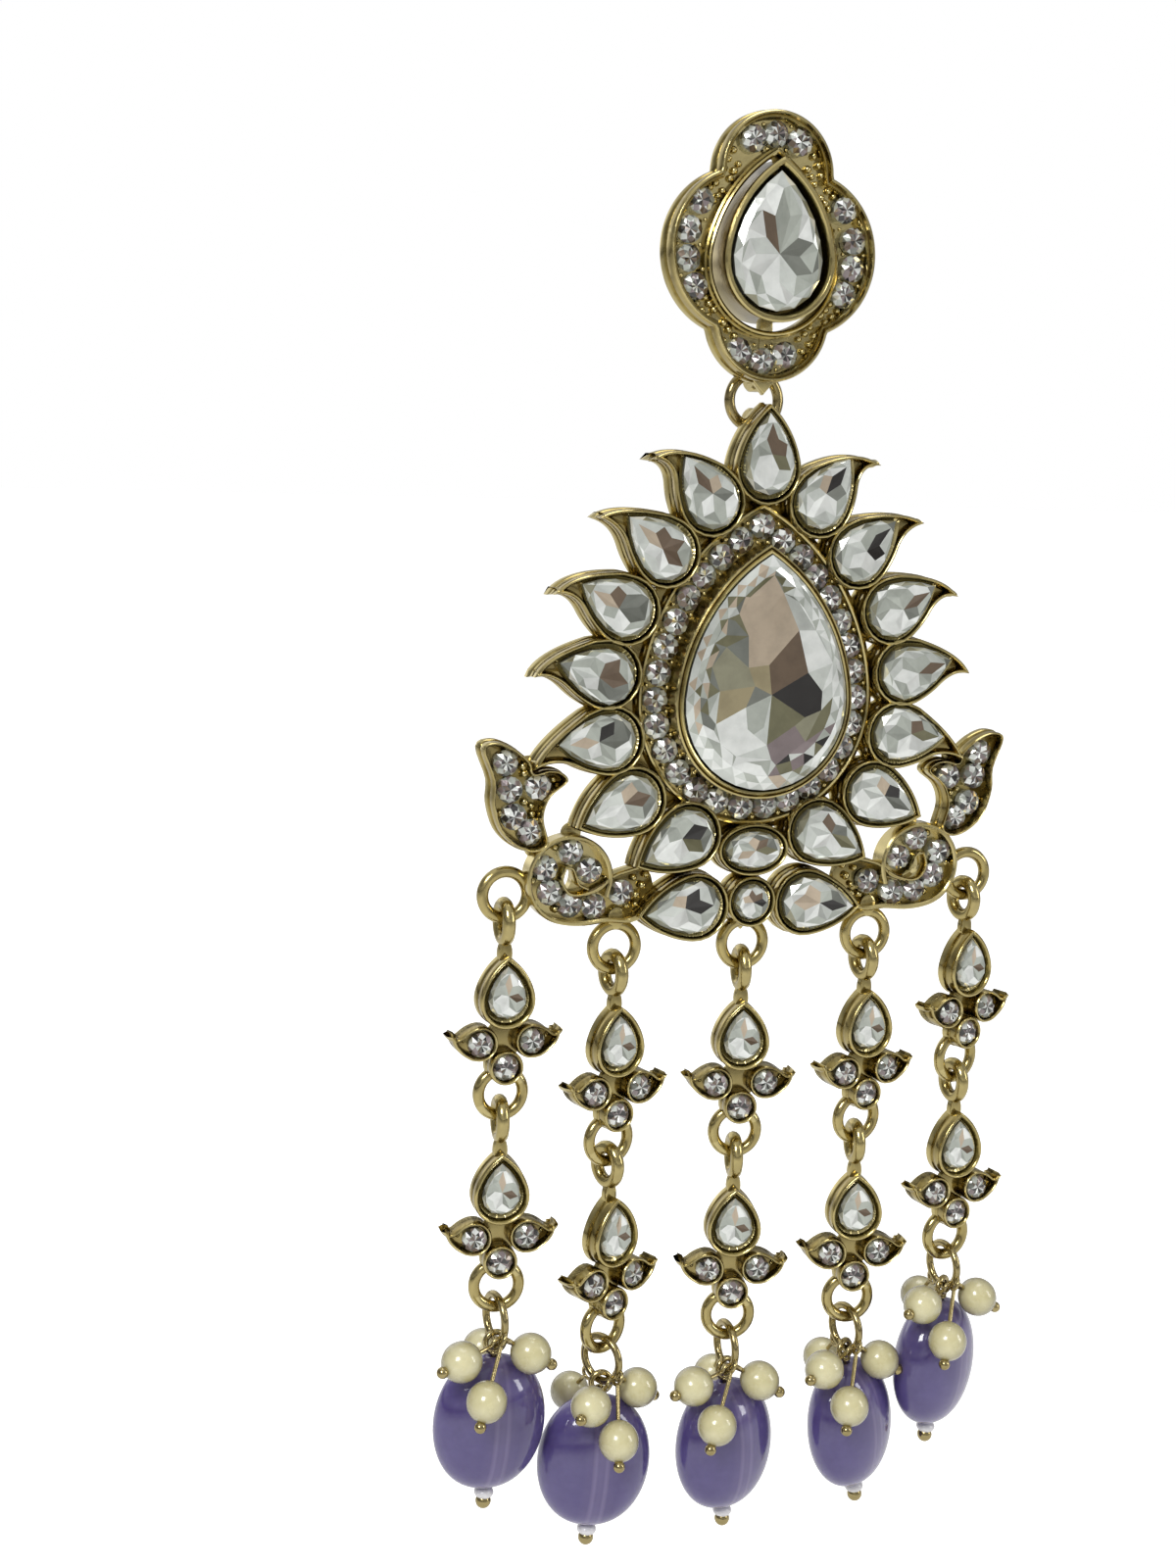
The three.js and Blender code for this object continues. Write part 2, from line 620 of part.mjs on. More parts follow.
// One strand: each part of it hangs in a group of its own, from the ring above it.
function strandGroup(strand) {
  const group = new THREE.Group();
  group.position.set(strand.x, -STRAND_FORWARD, strand.z + FRAME_Z);
  ['upper', 'lower'].forEach((place, i) => {
    const part = new THREE.Group();
    part.position.z = -i * LINK_PITCH;
    part.rotation.z = radians(strand[place]);
    part.add(piece(`link_${strand.name}_${place}`, linkGeometry, gold));
    part.add(piece(`link_stone_${strand.name}_${place}`, linkStoneGeometry, crystal));
    group.add(part);
  });
  const pearls = piece(`pearls_${strand.name}`, pearlGeometry, pearl);
  pearls.position.z = -2 * LINK_PITCH;
  pearls.rotation.z = radians(strand.pearls);
  // the bead leans about the loop of its pin
  const leaning = new THREE.Group();
  leaning.position.z = -2 * LINK_PITCH - BEAD_PIN.loopDrop;
  leaning.rotation.set(0, radians(strand.lean), radians(strand.bead), 'YXZ');
  const bead = piece(`bead_${strand.name}`, beadGeometry, lavender);
  const pinned = piece(`bead_pin_${strand.name}`, beadPinGeometry, wireGold);
  [bead, pinned].forEach((mesh) => mesh.position.setZ(BEAD_PIN.loopDrop));
  leaning.add(bead, pinned);
  group.add(pearls, leaning);
  return group;
}

const linkGeometry = geometryOf(link());
const linkStoneGeometry = linkStone();
const beadGeometry = bead();
const beadPinGeometry = geometryOf(beadPin());
const pearlGeometry = geometryOf(pearlCluster());

const earring = new THREE.Group();
earring.add(piece('stud_frame', geometryOf(studFrame()), gold));
earring.add(piece('stud_stone', studStone(), crystal));
earring.add(piece('ear_post', earPost(), wireGold));
earring.add(piece('jump_ring', jumpRing(), wireGold));
earring.add(piece('main_frame', geometryOf(mainFrame()), gold));
frameStones().forEach((row) => earring.add(piece(row.name, row.geometry, crystal)));
STRANDS.forEach((strand) => earring.add(strandGroup(strand)));

export default earring;
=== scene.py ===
"""The looks of a chandelier earring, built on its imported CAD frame.

Tables are in millimetres, and the meshes in metres. X is to the right, Z is up and the front faces -Y, so a
"forward" distance f lies at y = -f. An outline is a list of (x, z) points that runs counterclockwise.
"""

import math
import random

import bmesh
import bpy
import numpy as np
from mathutils import Matrix, Vector
from mathutils.geometry import delaunay_2d_cdt


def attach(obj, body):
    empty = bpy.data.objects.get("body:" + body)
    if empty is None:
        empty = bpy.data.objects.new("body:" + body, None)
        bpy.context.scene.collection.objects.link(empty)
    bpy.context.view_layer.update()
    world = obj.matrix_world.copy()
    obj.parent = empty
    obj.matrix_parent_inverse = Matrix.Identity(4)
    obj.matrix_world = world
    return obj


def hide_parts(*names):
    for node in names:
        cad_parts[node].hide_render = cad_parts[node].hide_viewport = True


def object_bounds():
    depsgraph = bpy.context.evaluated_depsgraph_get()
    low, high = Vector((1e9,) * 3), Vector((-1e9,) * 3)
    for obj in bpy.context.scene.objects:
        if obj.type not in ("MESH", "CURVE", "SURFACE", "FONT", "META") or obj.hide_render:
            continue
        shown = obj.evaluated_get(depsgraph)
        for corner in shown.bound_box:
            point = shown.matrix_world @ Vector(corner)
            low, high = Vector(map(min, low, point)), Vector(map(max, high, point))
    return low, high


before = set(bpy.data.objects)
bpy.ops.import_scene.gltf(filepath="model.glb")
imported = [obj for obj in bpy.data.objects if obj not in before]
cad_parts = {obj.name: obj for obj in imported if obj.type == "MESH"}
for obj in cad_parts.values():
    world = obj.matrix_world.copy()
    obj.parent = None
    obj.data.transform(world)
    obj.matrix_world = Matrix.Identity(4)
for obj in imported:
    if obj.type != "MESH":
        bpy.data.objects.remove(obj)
cad_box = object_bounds()

MM = 0.001
COLOUR_A, COLOUR_B, MIXED_COLOUR = 6, 7, 2  # the colour sockets of a Mix node
STUD_BODY, RING_BODY, DROP_BODY = "stud", "ring", "drop"

# ---- sizes shared with the CAD ----

CAST_BACK = 1.7
WALL = 0.5
PEAR_WALL = 2.4  # how much longer a pear gets for each unit of wall around it
FLOOR = 2.9  # of the channel round the centre stone
PAVE = 1.95  # the diameter of a paved stone

STUD = {
    "lobes": [(0, 5.05, 4.45), (-2.2, -0.45, 5.9), (2.2, -0.45, 5.9), (0, -5.07, 4.53)],
    "window": {"width": 9.6, "length": 12.4, "z": 0.2, "shoulder": 0.3},
    "cup": {"width": 8.6, "length": 11.4, "z": 0.35, "shoulder": 0.2, "back": 0.5},
    "stone": {"width": 7, "length": 9.8, "back": 2.4, "front": 4.9},
    "rim": 3.6,
    "floor": 2.5,
}
STUD_STONES = [
    (-1.75, 7.4), (0, 7.8), (1.9, 7.4),
    (-5.7, 2.9), (-6.5, 0.8), (-6.5, -1.2), (-5.9, -3.1),
    (5.7, 2.9), (6.5, 0.8), (6.5, -1.2), (5.9, -3.1),
    (-2.3, -7.5), (-0.45, -8.1), (1.35, -7.6),
]
NOTCHES = [(-4.4, 5.0), (4.4, 5.0), (-4.5, -5.9), (4.5, -5.9)]
POST = {"radius": 0.4, "length": 11, "pad": 2.2, "pad_thickness": 0.4}
RING = {"radius": 1.95, "wire": 0.4, "forward": 0.85, "top": -8.9}
HOLDER = {"hole": 0.64, "thickness": 1, "stud": 1.35, "frame": 1.4}

FRAME_Z = -30.9
CENTRE = {"width": 14.1, "length": 18.6, "z": 0.3, "shoulder": 0.15}
CENTRE_STONE = {"width": 12.9, "length": 17.3, "back": 2.95, "front": 6.0}
HALO = {"width": 18.9, "length": 23.85, "z": 0.67}
HALO_PATH = {"width": 16.2, "length": 20.85, "z": 0.52, "stones": 29}
WEB = {"width": 20.3, "length": 25.2, "z": 0.67, "front": 2.3}
PETAL = {"width": 4.2, "length": 6.1, "shoulder": 0.35, "front": 4.1, "back": 2.85, "top": 4.45}
OVAL = {"width": 4.7, "height": 3, "z": -13.05}
ROUND = {"diameter": 2.9, "z": -17}
SPINE = {"width": 1.4, "height": 9, "z": -15}
SCROLL = {"x": 14.35, "z": -14.85, "radius": 3.15, "front": 3.6, "floor": 2.5}

# The large pear's own facets: their corners from its middle, and each facet's corners and tint, a painted
# reflection.
CENTRE_FACETS = {
    "top": (-0.1, 7.2), "upper_left": (-2.0, 5.6), "left_a": (-2.8, 4.4), "left_b": (-2.0, 2.8),
    "left_c": (-1.9, 0.5), "middle": (-0.3, 0.7), "right_a": (2.0, 3.2), "upper_right": (0.7, 5.9),
    "meeting": (0.0, -1.5), "right_b": (2.9, 0.1), "right_c": (4.15, -1.3), "right_d": (4.1, -2.7),
    "low_a": (2.8, -3.2), "low_b": (2.0, -3.8), "low_c": (-0.2, -5.2), "left_d": (-1.35, -0.85),
    "left_e": (-2.0, -2.4), "left_f": (-4.3, -3.6), "low_d": (-3.9, -5.0), "low_e": (-2.6, -6.0),
    "left_g": (-3.7, 2.0), "left_h": (-4.8, 0.6), "left_i": (-4.1, -1.2), "low_f": (0.2, -6.3),
    "low_g": (1.6, -5.9), "low_h": (2.9, -5.0), "inset_a": (-0.5, -3.9), "inset_b": (-1.3, -4.4),
    "inset_c": (-1.8, -4.0), "right_e": (4.9, 0.8), "right_f": (3.4, 3.2), "right_g": (1.9, 5.3),
}
CENTRE_FACES = [
    ("top upper_left left_a left_b left_c middle right_a upper_right", "beige"),
    ("right_a middle meeting right_b", "brown"),
    ("meeting right_b right_c right_d low_a", "charcoal"),
    ("meeting low_a low_b low_c", "olive"),
    ("middle left_c left_d meeting", "tan"),
    ("meeting left_d left_e", "grey"),
    ("meeting left_e inset_c inset_b inset_a", "mist"),
    ("left_e left_f low_d low_e low_c inset_b inset_c", "white"),
    ("meeting inset_a inset_b low_c", "silver"),
    ("left_b left_g left_c", "grey"),
    ("left_g left_h left_i left_d left_c", "khaki"),
    ("left_i left_f left_e left_d", "tan"),
    ("low_c low_b low_h low_g low_f", "mauve"),
    ("low_c low_f low_e", "silver"),
    ("low_b low_a right_d low_h", "khaki"),
    ("upper_right right_a right_f right_g", "silver"),
    ("right_a right_b right_e right_f", "white"),
    ("right_b right_c right_e", "silver"),
]

# Petals of one side: the stone's middle, the turn of its tip, and its hook's reach and turn.
PETALS = [
    (4.95, 13.5, 36, 4.7, 28),
    (8.5, 9.6, 50, 4.9, 19),
    (11.6, 5.3, 60, 4.7, 23),
    (13.0, 0.4, 77, 4.6, 18),
    (12.65, -4.7, 95, 5.2, 17),
    (10.7, -9.5, 114, 0, 0),
    (6.2, -12.3, 118, 0, 0),
    (5.5, -17.35, 96, 0, 0),
]
TOP_PETAL = (0, 16.1, 0, 0, 0)

# One scroll's leaf, from its tip, and its tail's floor; the small stones and milgrain beads on both.
SCROLL_LEAF = [
    (21.2, -5.1), (20.2, -4.6), (18.8, -5.1), (17.6, -6.1), (17.3, -6.9), (16.2, -6.7), (15.2, -6.9),
    (14.7, -7.6), (16.0, -8.7), (16.5, -10.2), (16.1, -12.1), (17.2, -12.7), (18.6, -12.2), (19.8, -11.0),
    (20.4, -9.1), (20.4, -7.4),
]
SCROLL_TAIL = [
    (13.6, -18.0), (11.2, -17.8), (9.2, -17.9), (7.4, -16.2), (8.2, -14.0), (10.2, -14.5), (12.0, -15.2),
]
SCROLL_STONES = [
    (19.3, -6.2), (19.0, -8.1), (16.85, -8.0), (18.6, -10.1), (17.4, -11.3), (14.2, -12.8),
    (12.75, -14.3), (16.2, -14.0), (15.75, -15.8), (14.2, -16.8), (12.3, -17.0), (10.2, -16.0),
]
SCROLL_BEADS = [
    (17.9, -6.5), (17.8, -7.05), (17.75, -9.1), (17.2, -9.4), (17.15, -10.0), (16.95, -10.5), (19.6, -9.9),
    (15.6, -7.5), (11.3, -14.9), (9.1, -15.0), (8.4, -15.6), (8.9, -16.3), (8.1, -14.8), (8.9, -17.0),
    (9.6, -17.1), (15.3, -12.5), (17.0, -14.9), (15.2, -17.1),
]
SCROLL_WEBS = [(13.9, -11.6, 0.8), (16.6, -12.5, 0.9), (17.3, -6.5, 0.7)]

STRAND_FORWARD = 2.5
LINK_PITCH = 14.8
LINK_RING = {"radius": 1.7, "wire": 0.44}
LINK_LOOP = {"radius": 1.2, "wire": 0.5, "drop": 1.99}
LINK = {
    "back": -0.3, "floor": 0.35, "front": 1.5,
    "cup": {"width": 4.2, "length": 5.4, "drop": 7, "shoulder": 0.35},
    "stone": {"width": 3, "length": 4, "shoulder": 0.35, "back": 0.4, "front": 1.6},
    "leaf": {
        "width": 2.6, "length": 3.4, "shoulder": 0.3, "reach": 2, "hook": 34, "turn": 96,
        "x": 2.35, "drop": 10.75, "stone": 1.95,
    },
    "round": {"radius": 1.3, "drop": 12.6},
}
# Strands: the cast ring's place, the turns of the links, pearls and bead, and the bead's lean, in degrees.
STRANDS = [
    ("left_outer", -19, -15.9, 0, -6, 6, 4, 3),
    ("left_inner", -10.4, -20.2, 12, 20, 28, -8, 4),
    ("centre", 0, -20.4, -8, -12, 0, 18, -1),
    ("right_inner", 10.4, -20.2, 8, -8, 10, 30, -7),
    ("right_outer", 19, -15.9, 14, 6, 8, 32, 4),
]
WIRE_RING = {"radius": 1.75, "wire": 0.3, "drop": 2.6}
BEAD = {"width": 8.8, "thickness": 5.6, "height": 10.3, "drop": 10.7}
BEAD_PIN = {"wire": 0.24, "loop": 0.76, "drop": 4.48, "cap": 0.75, "cap_length": 0.8, "ball": 0.6}
PEARL_RADIUS = 1.52
# Pearls of a strand: x, forward and drop of the middle, and where on the wire ring their pin starts.
PEARLS = [(-3.6, 2.2, 4.6, 35), (2.1, 1.9, 5, 52), (-2.3, 3.9, 7.2, 68), (0.6, -3.7, 6.6, -40)]

# ---- view ----

LIGHTS_AIM = (0, 0, -45)
CAMERA = {"place": (-66.2, -145.3, -15.8), "turn": -20.5, "down": 8.6, "roll": 1.6, "lens": 48.6}


# ---- outlines ----


def pear(width, length, shoulder, steps=24, x=0.0, z=0.0, turn=0.0):
    """A pear from its tip round; the shoulder, from 0 to 1, straightens its sides. Turned clockwise."""
    r = width / 2
    tip = length - r
    rise = shoulder * math.asin(r / tip)
    sine = math.sin(rise)
    side = (r * r + tip * tip - 2 * r * tip * sine) / (2 * (r - tip * sine))
    side_x, side_z = -(side - r) * math.cos(rise), -(side - r) * sine
    end = math.atan2(tip - side_z, -side_x)
    left = [end + (rise - end) * i / steps for i in range(steps)]
    bottom = [math.pi - rise + (math.pi + 2 * rise) * i / steps for i in range(steps + 1)]
    right = [rise + (end - rise) * i / steps for i in range(1, steps)]
    points = [(-(side_x + side * math.cos(a)), side_z + side * math.sin(a)) for a in left]
    points += [(r * math.cos(a), r * math.sin(a)) for a in bottom]
    points += [(side_x + side * math.cos(a), side_z + side * math.sin(a)) for a in right]
    middle = length / 2 - r
    return placed([(px, pz - middle) for px, pz in points], turn, x, z)


def pear_around(size, wall, **place):
    """The pear that lies a wall outside the one of the given size."""
    return pear(size["width"] + 2 * wall, size["length"] + PEAR_WALL * wall, size["shoulder"], **place)


def sized_pear(size, steps, less=(0, 0), z=0.0):
    """The pear of the given size, or one that is narrower and shorter by less."""
    width, length = size["width"] - less[0], size["length"] - less[1]
    return pear(width, length, size.get("shoulder", CENTRE["shoulder"]), steps, 0, size.get("z", 0.0) + z)


def hooked_pear(width, length, shoulder, reach, hook, steps=12):
    """A pear whose tip is drawn out into a hook that curls to the right."""
    body = pear(width, length, shoulder, steps)
    first, last = steps - steps // 4, len(body) - steps // 2
    tip = np.array([reach * math.sin(math.radians(hook)), reach * math.cos(math.radians(hook))])
    outer = bezier(tip, np.array([-0.05 * width, 0.56 * length]), np.array(body[first]), steps)
    inner = bezier(np.array(body[last]), np.array([0.16 * width, 0.44 * length]), tip, steps)
    return [*outer[:-1], *body[first:last], *inner[:-1]]


def bezier(start, middle, end, steps):
    """Points of a quadratic curve, both ends included."""
    shares = [i / steps for i in range(steps + 1)]
    return [tuple(start * (1 - t) ** 2 + middle * 2 * t * (1 - t) + end * t * t) for t in shares]


def turns(count):
    """Evenly spaced angles of a full turn."""
    return [2 * math.pi * i / count for i in range(count)]


def ellipse(width, height, x=0.0, z=0.0, steps=40):
    return [(x + width / 2 * math.cos(a), z + height / 2 * math.sin(a)) for a in turns(steps)]


def placed(points, turn, x, z):
    """An outline turned clockwise by an angle in degrees and moved."""
    c, s = math.cos(math.radians(turn)), math.sin(math.radians(turn))
    return [(x + px * c + pz * s, z - px * s + pz * c) for px, pz in points]


def mirrored(points):
    return [(-x, z) for x, z in points][::-1]


def on_frame(points):
    return [(x, z + FRAME_Z) for x, z in points]


def rounded(points, steps=5, closed=True):
    """A smooth Catmull-Rom curve through the points."""
    p = np.array(points, float)
    count = len(p) if closed else len(p) - 1
    made = []
    for i in range(count):
        around = range(i - 1, i + 3)
        a, b, c, d = (p[k % len(p) if closed else min(max(k, 0), len(p) - 1)] for k in around)
        for j in range(steps):
            t = j / steps
            bend = (2 * a - 5 * b + 4 * c - d) * t**2 + (3 * b - a - 3 * c + d) * t**3
            made.append(tuple(0.5 * (2 * b + (c - a) * t + bend)))
    if not closed:
        made.append(tuple(p[-1]))
    return made


def counterclockwise(points):
    p = np.array(points, float)
    q = np.roll(p, -1, axis=0)
    area = (p[:, 0] * q[:, 1] - q[:, 0] * p[:, 1]).sum()
    return p if area > 0 else p[::-1].copy()


def outward(points, closed=True, limit=1.7):
    """Mitred normals to the right of the way along the points, which is outward on a closed outline."""
    p = np.array(points, float)
    after = np.roll(p, -1, axis=0) - p
    before = p - np.roll(p, 1, axis=0)
    if not closed:
        after[-1] = before[-1]
        before[0] = after[0]

    def unit(d):
        return d / np.maximum(np.linalg.norm(d, axis=1, keepdims=True), 1e-9)

    a, b = (unit(np.stack([d[:, 1], -d[:, 0]], 1)) for d in (before, after))
    m = unit(a + b)
    return m / np.maximum((m * a).sum(1), 1 / limit)[:, None]


def offsets(points, normals, profile):
    """An outline once for each (outward, forward) pair of a profile, as rings of 3-D points."""
    x, z = points.T
    along_x, along_z = normals.T
    return [np.stack([x + along_x * o, -f * np.ones(len(x)), z + along_z * o], 1) for o, f in profile]


def along(points, share):
    """The point of a closed outline at a share of its length."""
    p = np.vstack([points, points[:1]])
    lengths = np.concatenate([[0], np.cumsum(np.linalg.norm(np.diff(p, axis=0), axis=1))])
    at = (share % 1) * lengths[-1]
    return np.array([np.interp(at, lengths, p[:, 0]), np.interp(at, lengths, p[:, 1])])


# ---- meshes ----


class Model:
    """Points in millimetres and faces with a colour each, of one piece."""

    def __init__(self):
        self.points, self.faces, self.colours = [], [], []

    def add(self, points, faces, colours=None):
        start = len(self.points)
        self.points.extend(tuple(float(v) for v in p) for p in points)
        self.faces.extend(tuple(start + i for i in face) for face in faces)
        self.colours.extend(colours or [(1, 1, 1)] * len(faces))

    def rings(self, rings, loop=False, closed=True):
        """Quads between neighbouring rings. Without a loop, the first and the last ring are filled."""
        count, size = len(rings), len(rings[0])
        faces = []
        for i in range(count if loop else count - 1):
            for j in range(size if closed else size - 1):
                a, b = i * size, ((i + 1) % count) * size
                faces.append((a + j, a + (j + 1) % size, b + (j + 1) % size, b + j))
        if not loop:
            faces.append(tuple(range(size)))
            faces.append(tuple((count - 1) * size + j for j in range(size)))
        elif not closed:
            faces.append(tuple(i * size for i in range(count)))
            faces.append(tuple(i * size + size - 1 for i in range(count)))
        self.add(np.concatenate(rings), faces)


def swept(model, points, profile, closed=True):
    """A closed profile of (outward, forward) points carried along an outline."""
    p = counterclockwise(points) if closed else np.array(points, float)
    model.rings(offsets(p, outward(p, closed), profile), loop=True, closed=closed)


def stepped_side(back, front, step=0.1):
    """The outer side of a cast wall, from its foot up: a ledge, a groove and a straight upper part."""
    shares = [(step, 0), (step, 0.3), (0.4 * step, 0.36), (-step, 0.42), (-step, 0.5), (0.0, 0.56)]
    side = [(o, back + share * (front - back)) for o, share in shares]
    return [*side, (0.0, front - 0.2), (-0.04, front - 0.06)]


def wall(model, points, back, front, thick=WALL, step=0.1):
    """A wall inside an outline: a stepped outer side, a thin rounded top and a sloping inner side."""
    top = 0.62 * thick
    swept(model, points, [
        *stepped_side(back, front, step),
        (-0.35 * top, front), (-0.6 * top, front + 0.01), (-0.85 * top, front - 0.04), (-top, front - 0.16),
        (-0.9 * thick, front - 0.45), (-thick, front - 0.7), (-thick, back),
    ])


def plate(model, points, back, front, edge=0.12):
    """A plate with the given outline and softened edges."""
    p = counterclockwise(points)
    bevel = [(0, front - edge), (-0.3 * edge, front - 0.3 * edge), (-edge, front)]
    model.rings(offsets(p, outward(p), [(-edge, back), (0, back + edge), *bevel]))


def ring_plate(model, outer, inner, back, front):
    """A plate between two outlines with the same number of points."""
    corners = ((outer, back), (outer, front), (inner, front), (inner, back))
    model.rings([np.array([(x, -forward, z) for x, z in points]) for points, forward in corners], loop=True)


def turned(model, profile, place, axis, steps=24):
    """A profile of (radius, distance along) points, turned about an axis through a place."""
    along_axis = Vector(axis).normalized()
    side = along_axis.orthogonal().normalized()
    up = along_axis.cross(side)
    around = [side * math.cos(a) + up * math.sin(a) for a in turns(steps)]
    middles = [(Vector(place) + along_axis * distance, radius) for radius, distance in profile]
    model.rings([np.array([middle + way * radius for way in around]) for middle, radius in middles])


def ball(model, place, radius, around=8, rows=5):
    angles = [math.pi * (i + 0.35) / (rows - 0.3) for i in range(rows)]
    profile = [(radius * math.sin(a), -radius * math.cos(a)) for a in angles]
    turned(model, profile, place, (0, -1, 0), around)


def round_end(model, place, axis, radius, half, cut, rows, steps):
    """A ball or oval bead about an axis, open to a small angle (the cut) at both ends."""
    angles = np.linspace(cut, math.pi - cut, rows)
    turned(model, [(radius * math.sin(a), -half * math.cos(a)) for a in angles], place, axis, steps)


def tube(model, points, radius, sides, closed=False):
    """A round wire along 3-D points."""
    p = np.array(points, float)
    tangent = np.roll(p, -1, axis=0) - np.roll(p, 1, axis=0)
    if not closed:
        tangent[0], tangent[-1] = p[1] - p[0], p[-1] - p[-2]
    tangent /= np.linalg.norm(tangent, axis=1, keepdims=True)
    side = np.cross(tangent[0], (0.31, 0.47, 0.83))
    frames = []
    for t in tangent:
        side = side - t * side.dot(t)
        side /= np.linalg.norm(side)
        frames.append((side, np.cross(t, side)))
    if closed:
        # the frame's twist over the loop is spread along it, so that its end meets its start
        first, (last, last_up) = frames[0][0], frames[-1]
        twist = math.atan2(first.dot(last_up), first.dot(last))
        for i, (a, b) in enumerate(frames):
            c, s = math.cos(twist * i / len(frames)), math.sin(twist * i / len(frames))
            frames[i] = (a * c + b * s, b * c - a * s)
    sections = []
    for angle in turns(sides):
        c, s = math.cos(angle), math.sin(angle)
        sections.append(np.array([p[i] + radius * (a * c + b * s) for i, (a, b) in enumerate(frames)]))
    model.rings(sections, loop=True, closed=closed)


def hoop(model, place, radius, axis, wire, sides=12, steps=44, stretch=1.0):
    """A closed round wire about a level axis; stretch makes it taller along Z."""
    up = Vector((0, 0, 1))
    side = Vector(axis).cross(up)
    ways = [side * math.cos(t) + up * stretch * math.sin(t) for t in turns(steps)]
    tube(model, [Vector(place) + radius * way for way in ways], wire, sides, closed=True)


def eye(model, place, radius, hole, thickness):
    """A flat-sided eye with its hole along X."""
    edge = 0.2 * (radius - hole)
    half = thickness / 2
    profile = [
        (hole, -half + edge), (hole + edge, -half), (radius - edge, -half), (radius, -half + edge),
        (radius, half - edge), (radius - edge, half), (hole + edge, half), (hole, half - edge),
    ]
    x, y, z = place
    model.rings([
        np.array([(x + d, y + r * math.cos(t), z + r * math.sin(t)) for t in turns(32)]) for r, d in profile
    ], loop=True)


def piece(name, model, look, body, slot, replaces=(), matrix=None, smooth=True, sharp=38):
    """Makes a model into an object that rides on a body and stands for CAD nodes."""
    mesh = bpy.data.meshes.new(name)
    mesh.from_pydata([tuple(v * MM for v in p) for p in model.points], [], model.faces)
    bm = bmesh.new()
    bm.from_mesh(mesh)
    layer = bm.loops.layers.float_color.new("facet")
    for face, colour in zip(bm.faces, model.colours):
        face.smooth = smooth
        for loop in face.loops:
            loop[layer] = (*colour, 1)
    bmesh.ops.recalc_face_normals(bm, faces=bm.faces[:])
    bm.to_mesh(mesh)
    bm.free()
    if smooth:
        mesh.set_sharp_from_angle(angle=math.radians(sharp))
    mesh.materials.append(look)
    return placed_piece(name, mesh, body, slot, replaces, matrix)


def placed_piece(name, mesh, body, slot, replaces=(), matrix=None):
    made = bpy.data.objects.new(name, mesh)
    bpy.context.scene.collection.objects.link(made)
    if matrix is not None:
        made.matrix_world = matrix
    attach(made, body)
    if replaces:
        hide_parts(*replaces)
    return made


# ---- materials ----


class Nodes:
    """Adds nodes to a material or world with one shader; most methods give back an output socket."""

    def __init__(self, owner, end="Principled BSDF"):
        owner.use_nodes = True
        self.owner, self.tree = owner, owner.node_tree
        self.end = self.tree.nodes[end]

    def fill(self, node, inputs):
        """Links the sockets among the inputs, and sets the plain values on the node's own sockets."""
        for name, value in inputs.items():
            if isinstance(value, bpy.types.NodeSocket):
                self.tree.links.new(value, node.inputs[name])
            else:
                node.inputs[name].default_value = value

    def add(self, kind, output, inputs=(), **settings):
        made = self.tree.nodes.new("ShaderNode" + kind)
        for name, value in settings.items():
            setattr(made, name, value)
        self.fill(made, dict(inputs))
        return made.outputs[output]

    def noise(self, scale, detail=4.0):
        place = self.add("TexCoord", "Object")
        inputs = {"Vector": place, "Scale": scale, "Detail": detail, "Roughness": 0.6}
        return self.add("TexNoise", "Fac", inputs)

    def ramp(self, source, *stops):
        """A colour ramp; stops are (position, colour) pairs, and a single number is a grey."""
        made = self.tree.nodes.new("ShaderNodeValToRGB")
        elements = made.color_ramp.elements
        while len(elements) < len(stops):
            elements.new(0.5)
        for element, (position, colour) in zip(elements, stops):
            element.position = position
            element.color = (*colour, 1) if isinstance(colour, tuple) else (colour, colour, colour, 1)
        self.fill(made, {"Fac": source})
        return made.outputs["Color"]

    def mixed(self, factor, a, b, kind="MIX"):
        colours = [(*colour, 1) if isinstance(colour, tuple) else colour for colour in (a, b)]
        inputs = {0: factor, COLOUR_A: colours[0], COLOUR_B: colours[1]}
        return self.add("Mix", MIXED_COLOUR, inputs, data_type="RGBA", blend_type=kind)

    def bump(self, scale, detail, strength, distance):
        height = self.noise(scale, detail)
        return self.add("Bump", "Normal", {"Strength": strength, "Distance": distance, "Height": height})

    def rim(self, blend):
        """1 where the surface turns away: the mask for the painted shade round a pearl's rim and the painted
        lighter sheen round a glass bead's rim.
        """
        return self.add("LayerWeight", "Facing", {"Blend": blend})

    def part(self, output, axis):
        """One axis of a texture coordinate."""
        return self.add("SeparateXYZ", axis, {"Vector": self.add("TexCoord", output)})

    def finished(self, inputs):
        self.fill(self.end, inputs)
        return self.owner


def new_look(name):
    return Nodes(bpy.data.materials.new(name))


def gold_look(name, bright, dark, edge, shade_and_tarnish_range):
    """Antique gold plating: darker in its recesses, as painted shade and tarnish, with paler edges, as painted
    highlight and wear, and a cast surface.
    """
    look = new_look(name)
    cavity = look.add("AmbientOcclusion", "AO", {"Distance": 1.2 * MM}, samples=8, only_local=True)
    patches = look.noise(900)
    # painted shade and tarnish: the plating darkens where ambient occlusion finds a recess
    recess_shade_and_tarnish = look.ramp(cavity, (shade_and_tarnish_range[0], 0.0), (shade_and_tarnish_range[1], 1.0))
    cloudy = look.ramp(patches, (0.32, 0.4), (0.6, 1.0))
    plating = look.mixed(look.mixed(1.0, recess_shade_and_tarnish, cloudy, "MULTIPLY"), dark, bright)
    # painted highlight and wear: the plating turns paler gold on sharp edges, where pointiness is high
    edges = look.ramp(look.add("NewGeometry", "Pointiness"), (0.51, 0.0), (0.57, 0.8))
    return look.finished({
        "Base Color": look.mixed(edges, plating, edge),
        "Roughness": look.ramp(patches, (0.3, 0.11), (0.7, 0.24)),
        "Metallic": 1.0,
        "Normal": look.bump(2600, 4.0, 0.15, 0.05 * MM),
    })


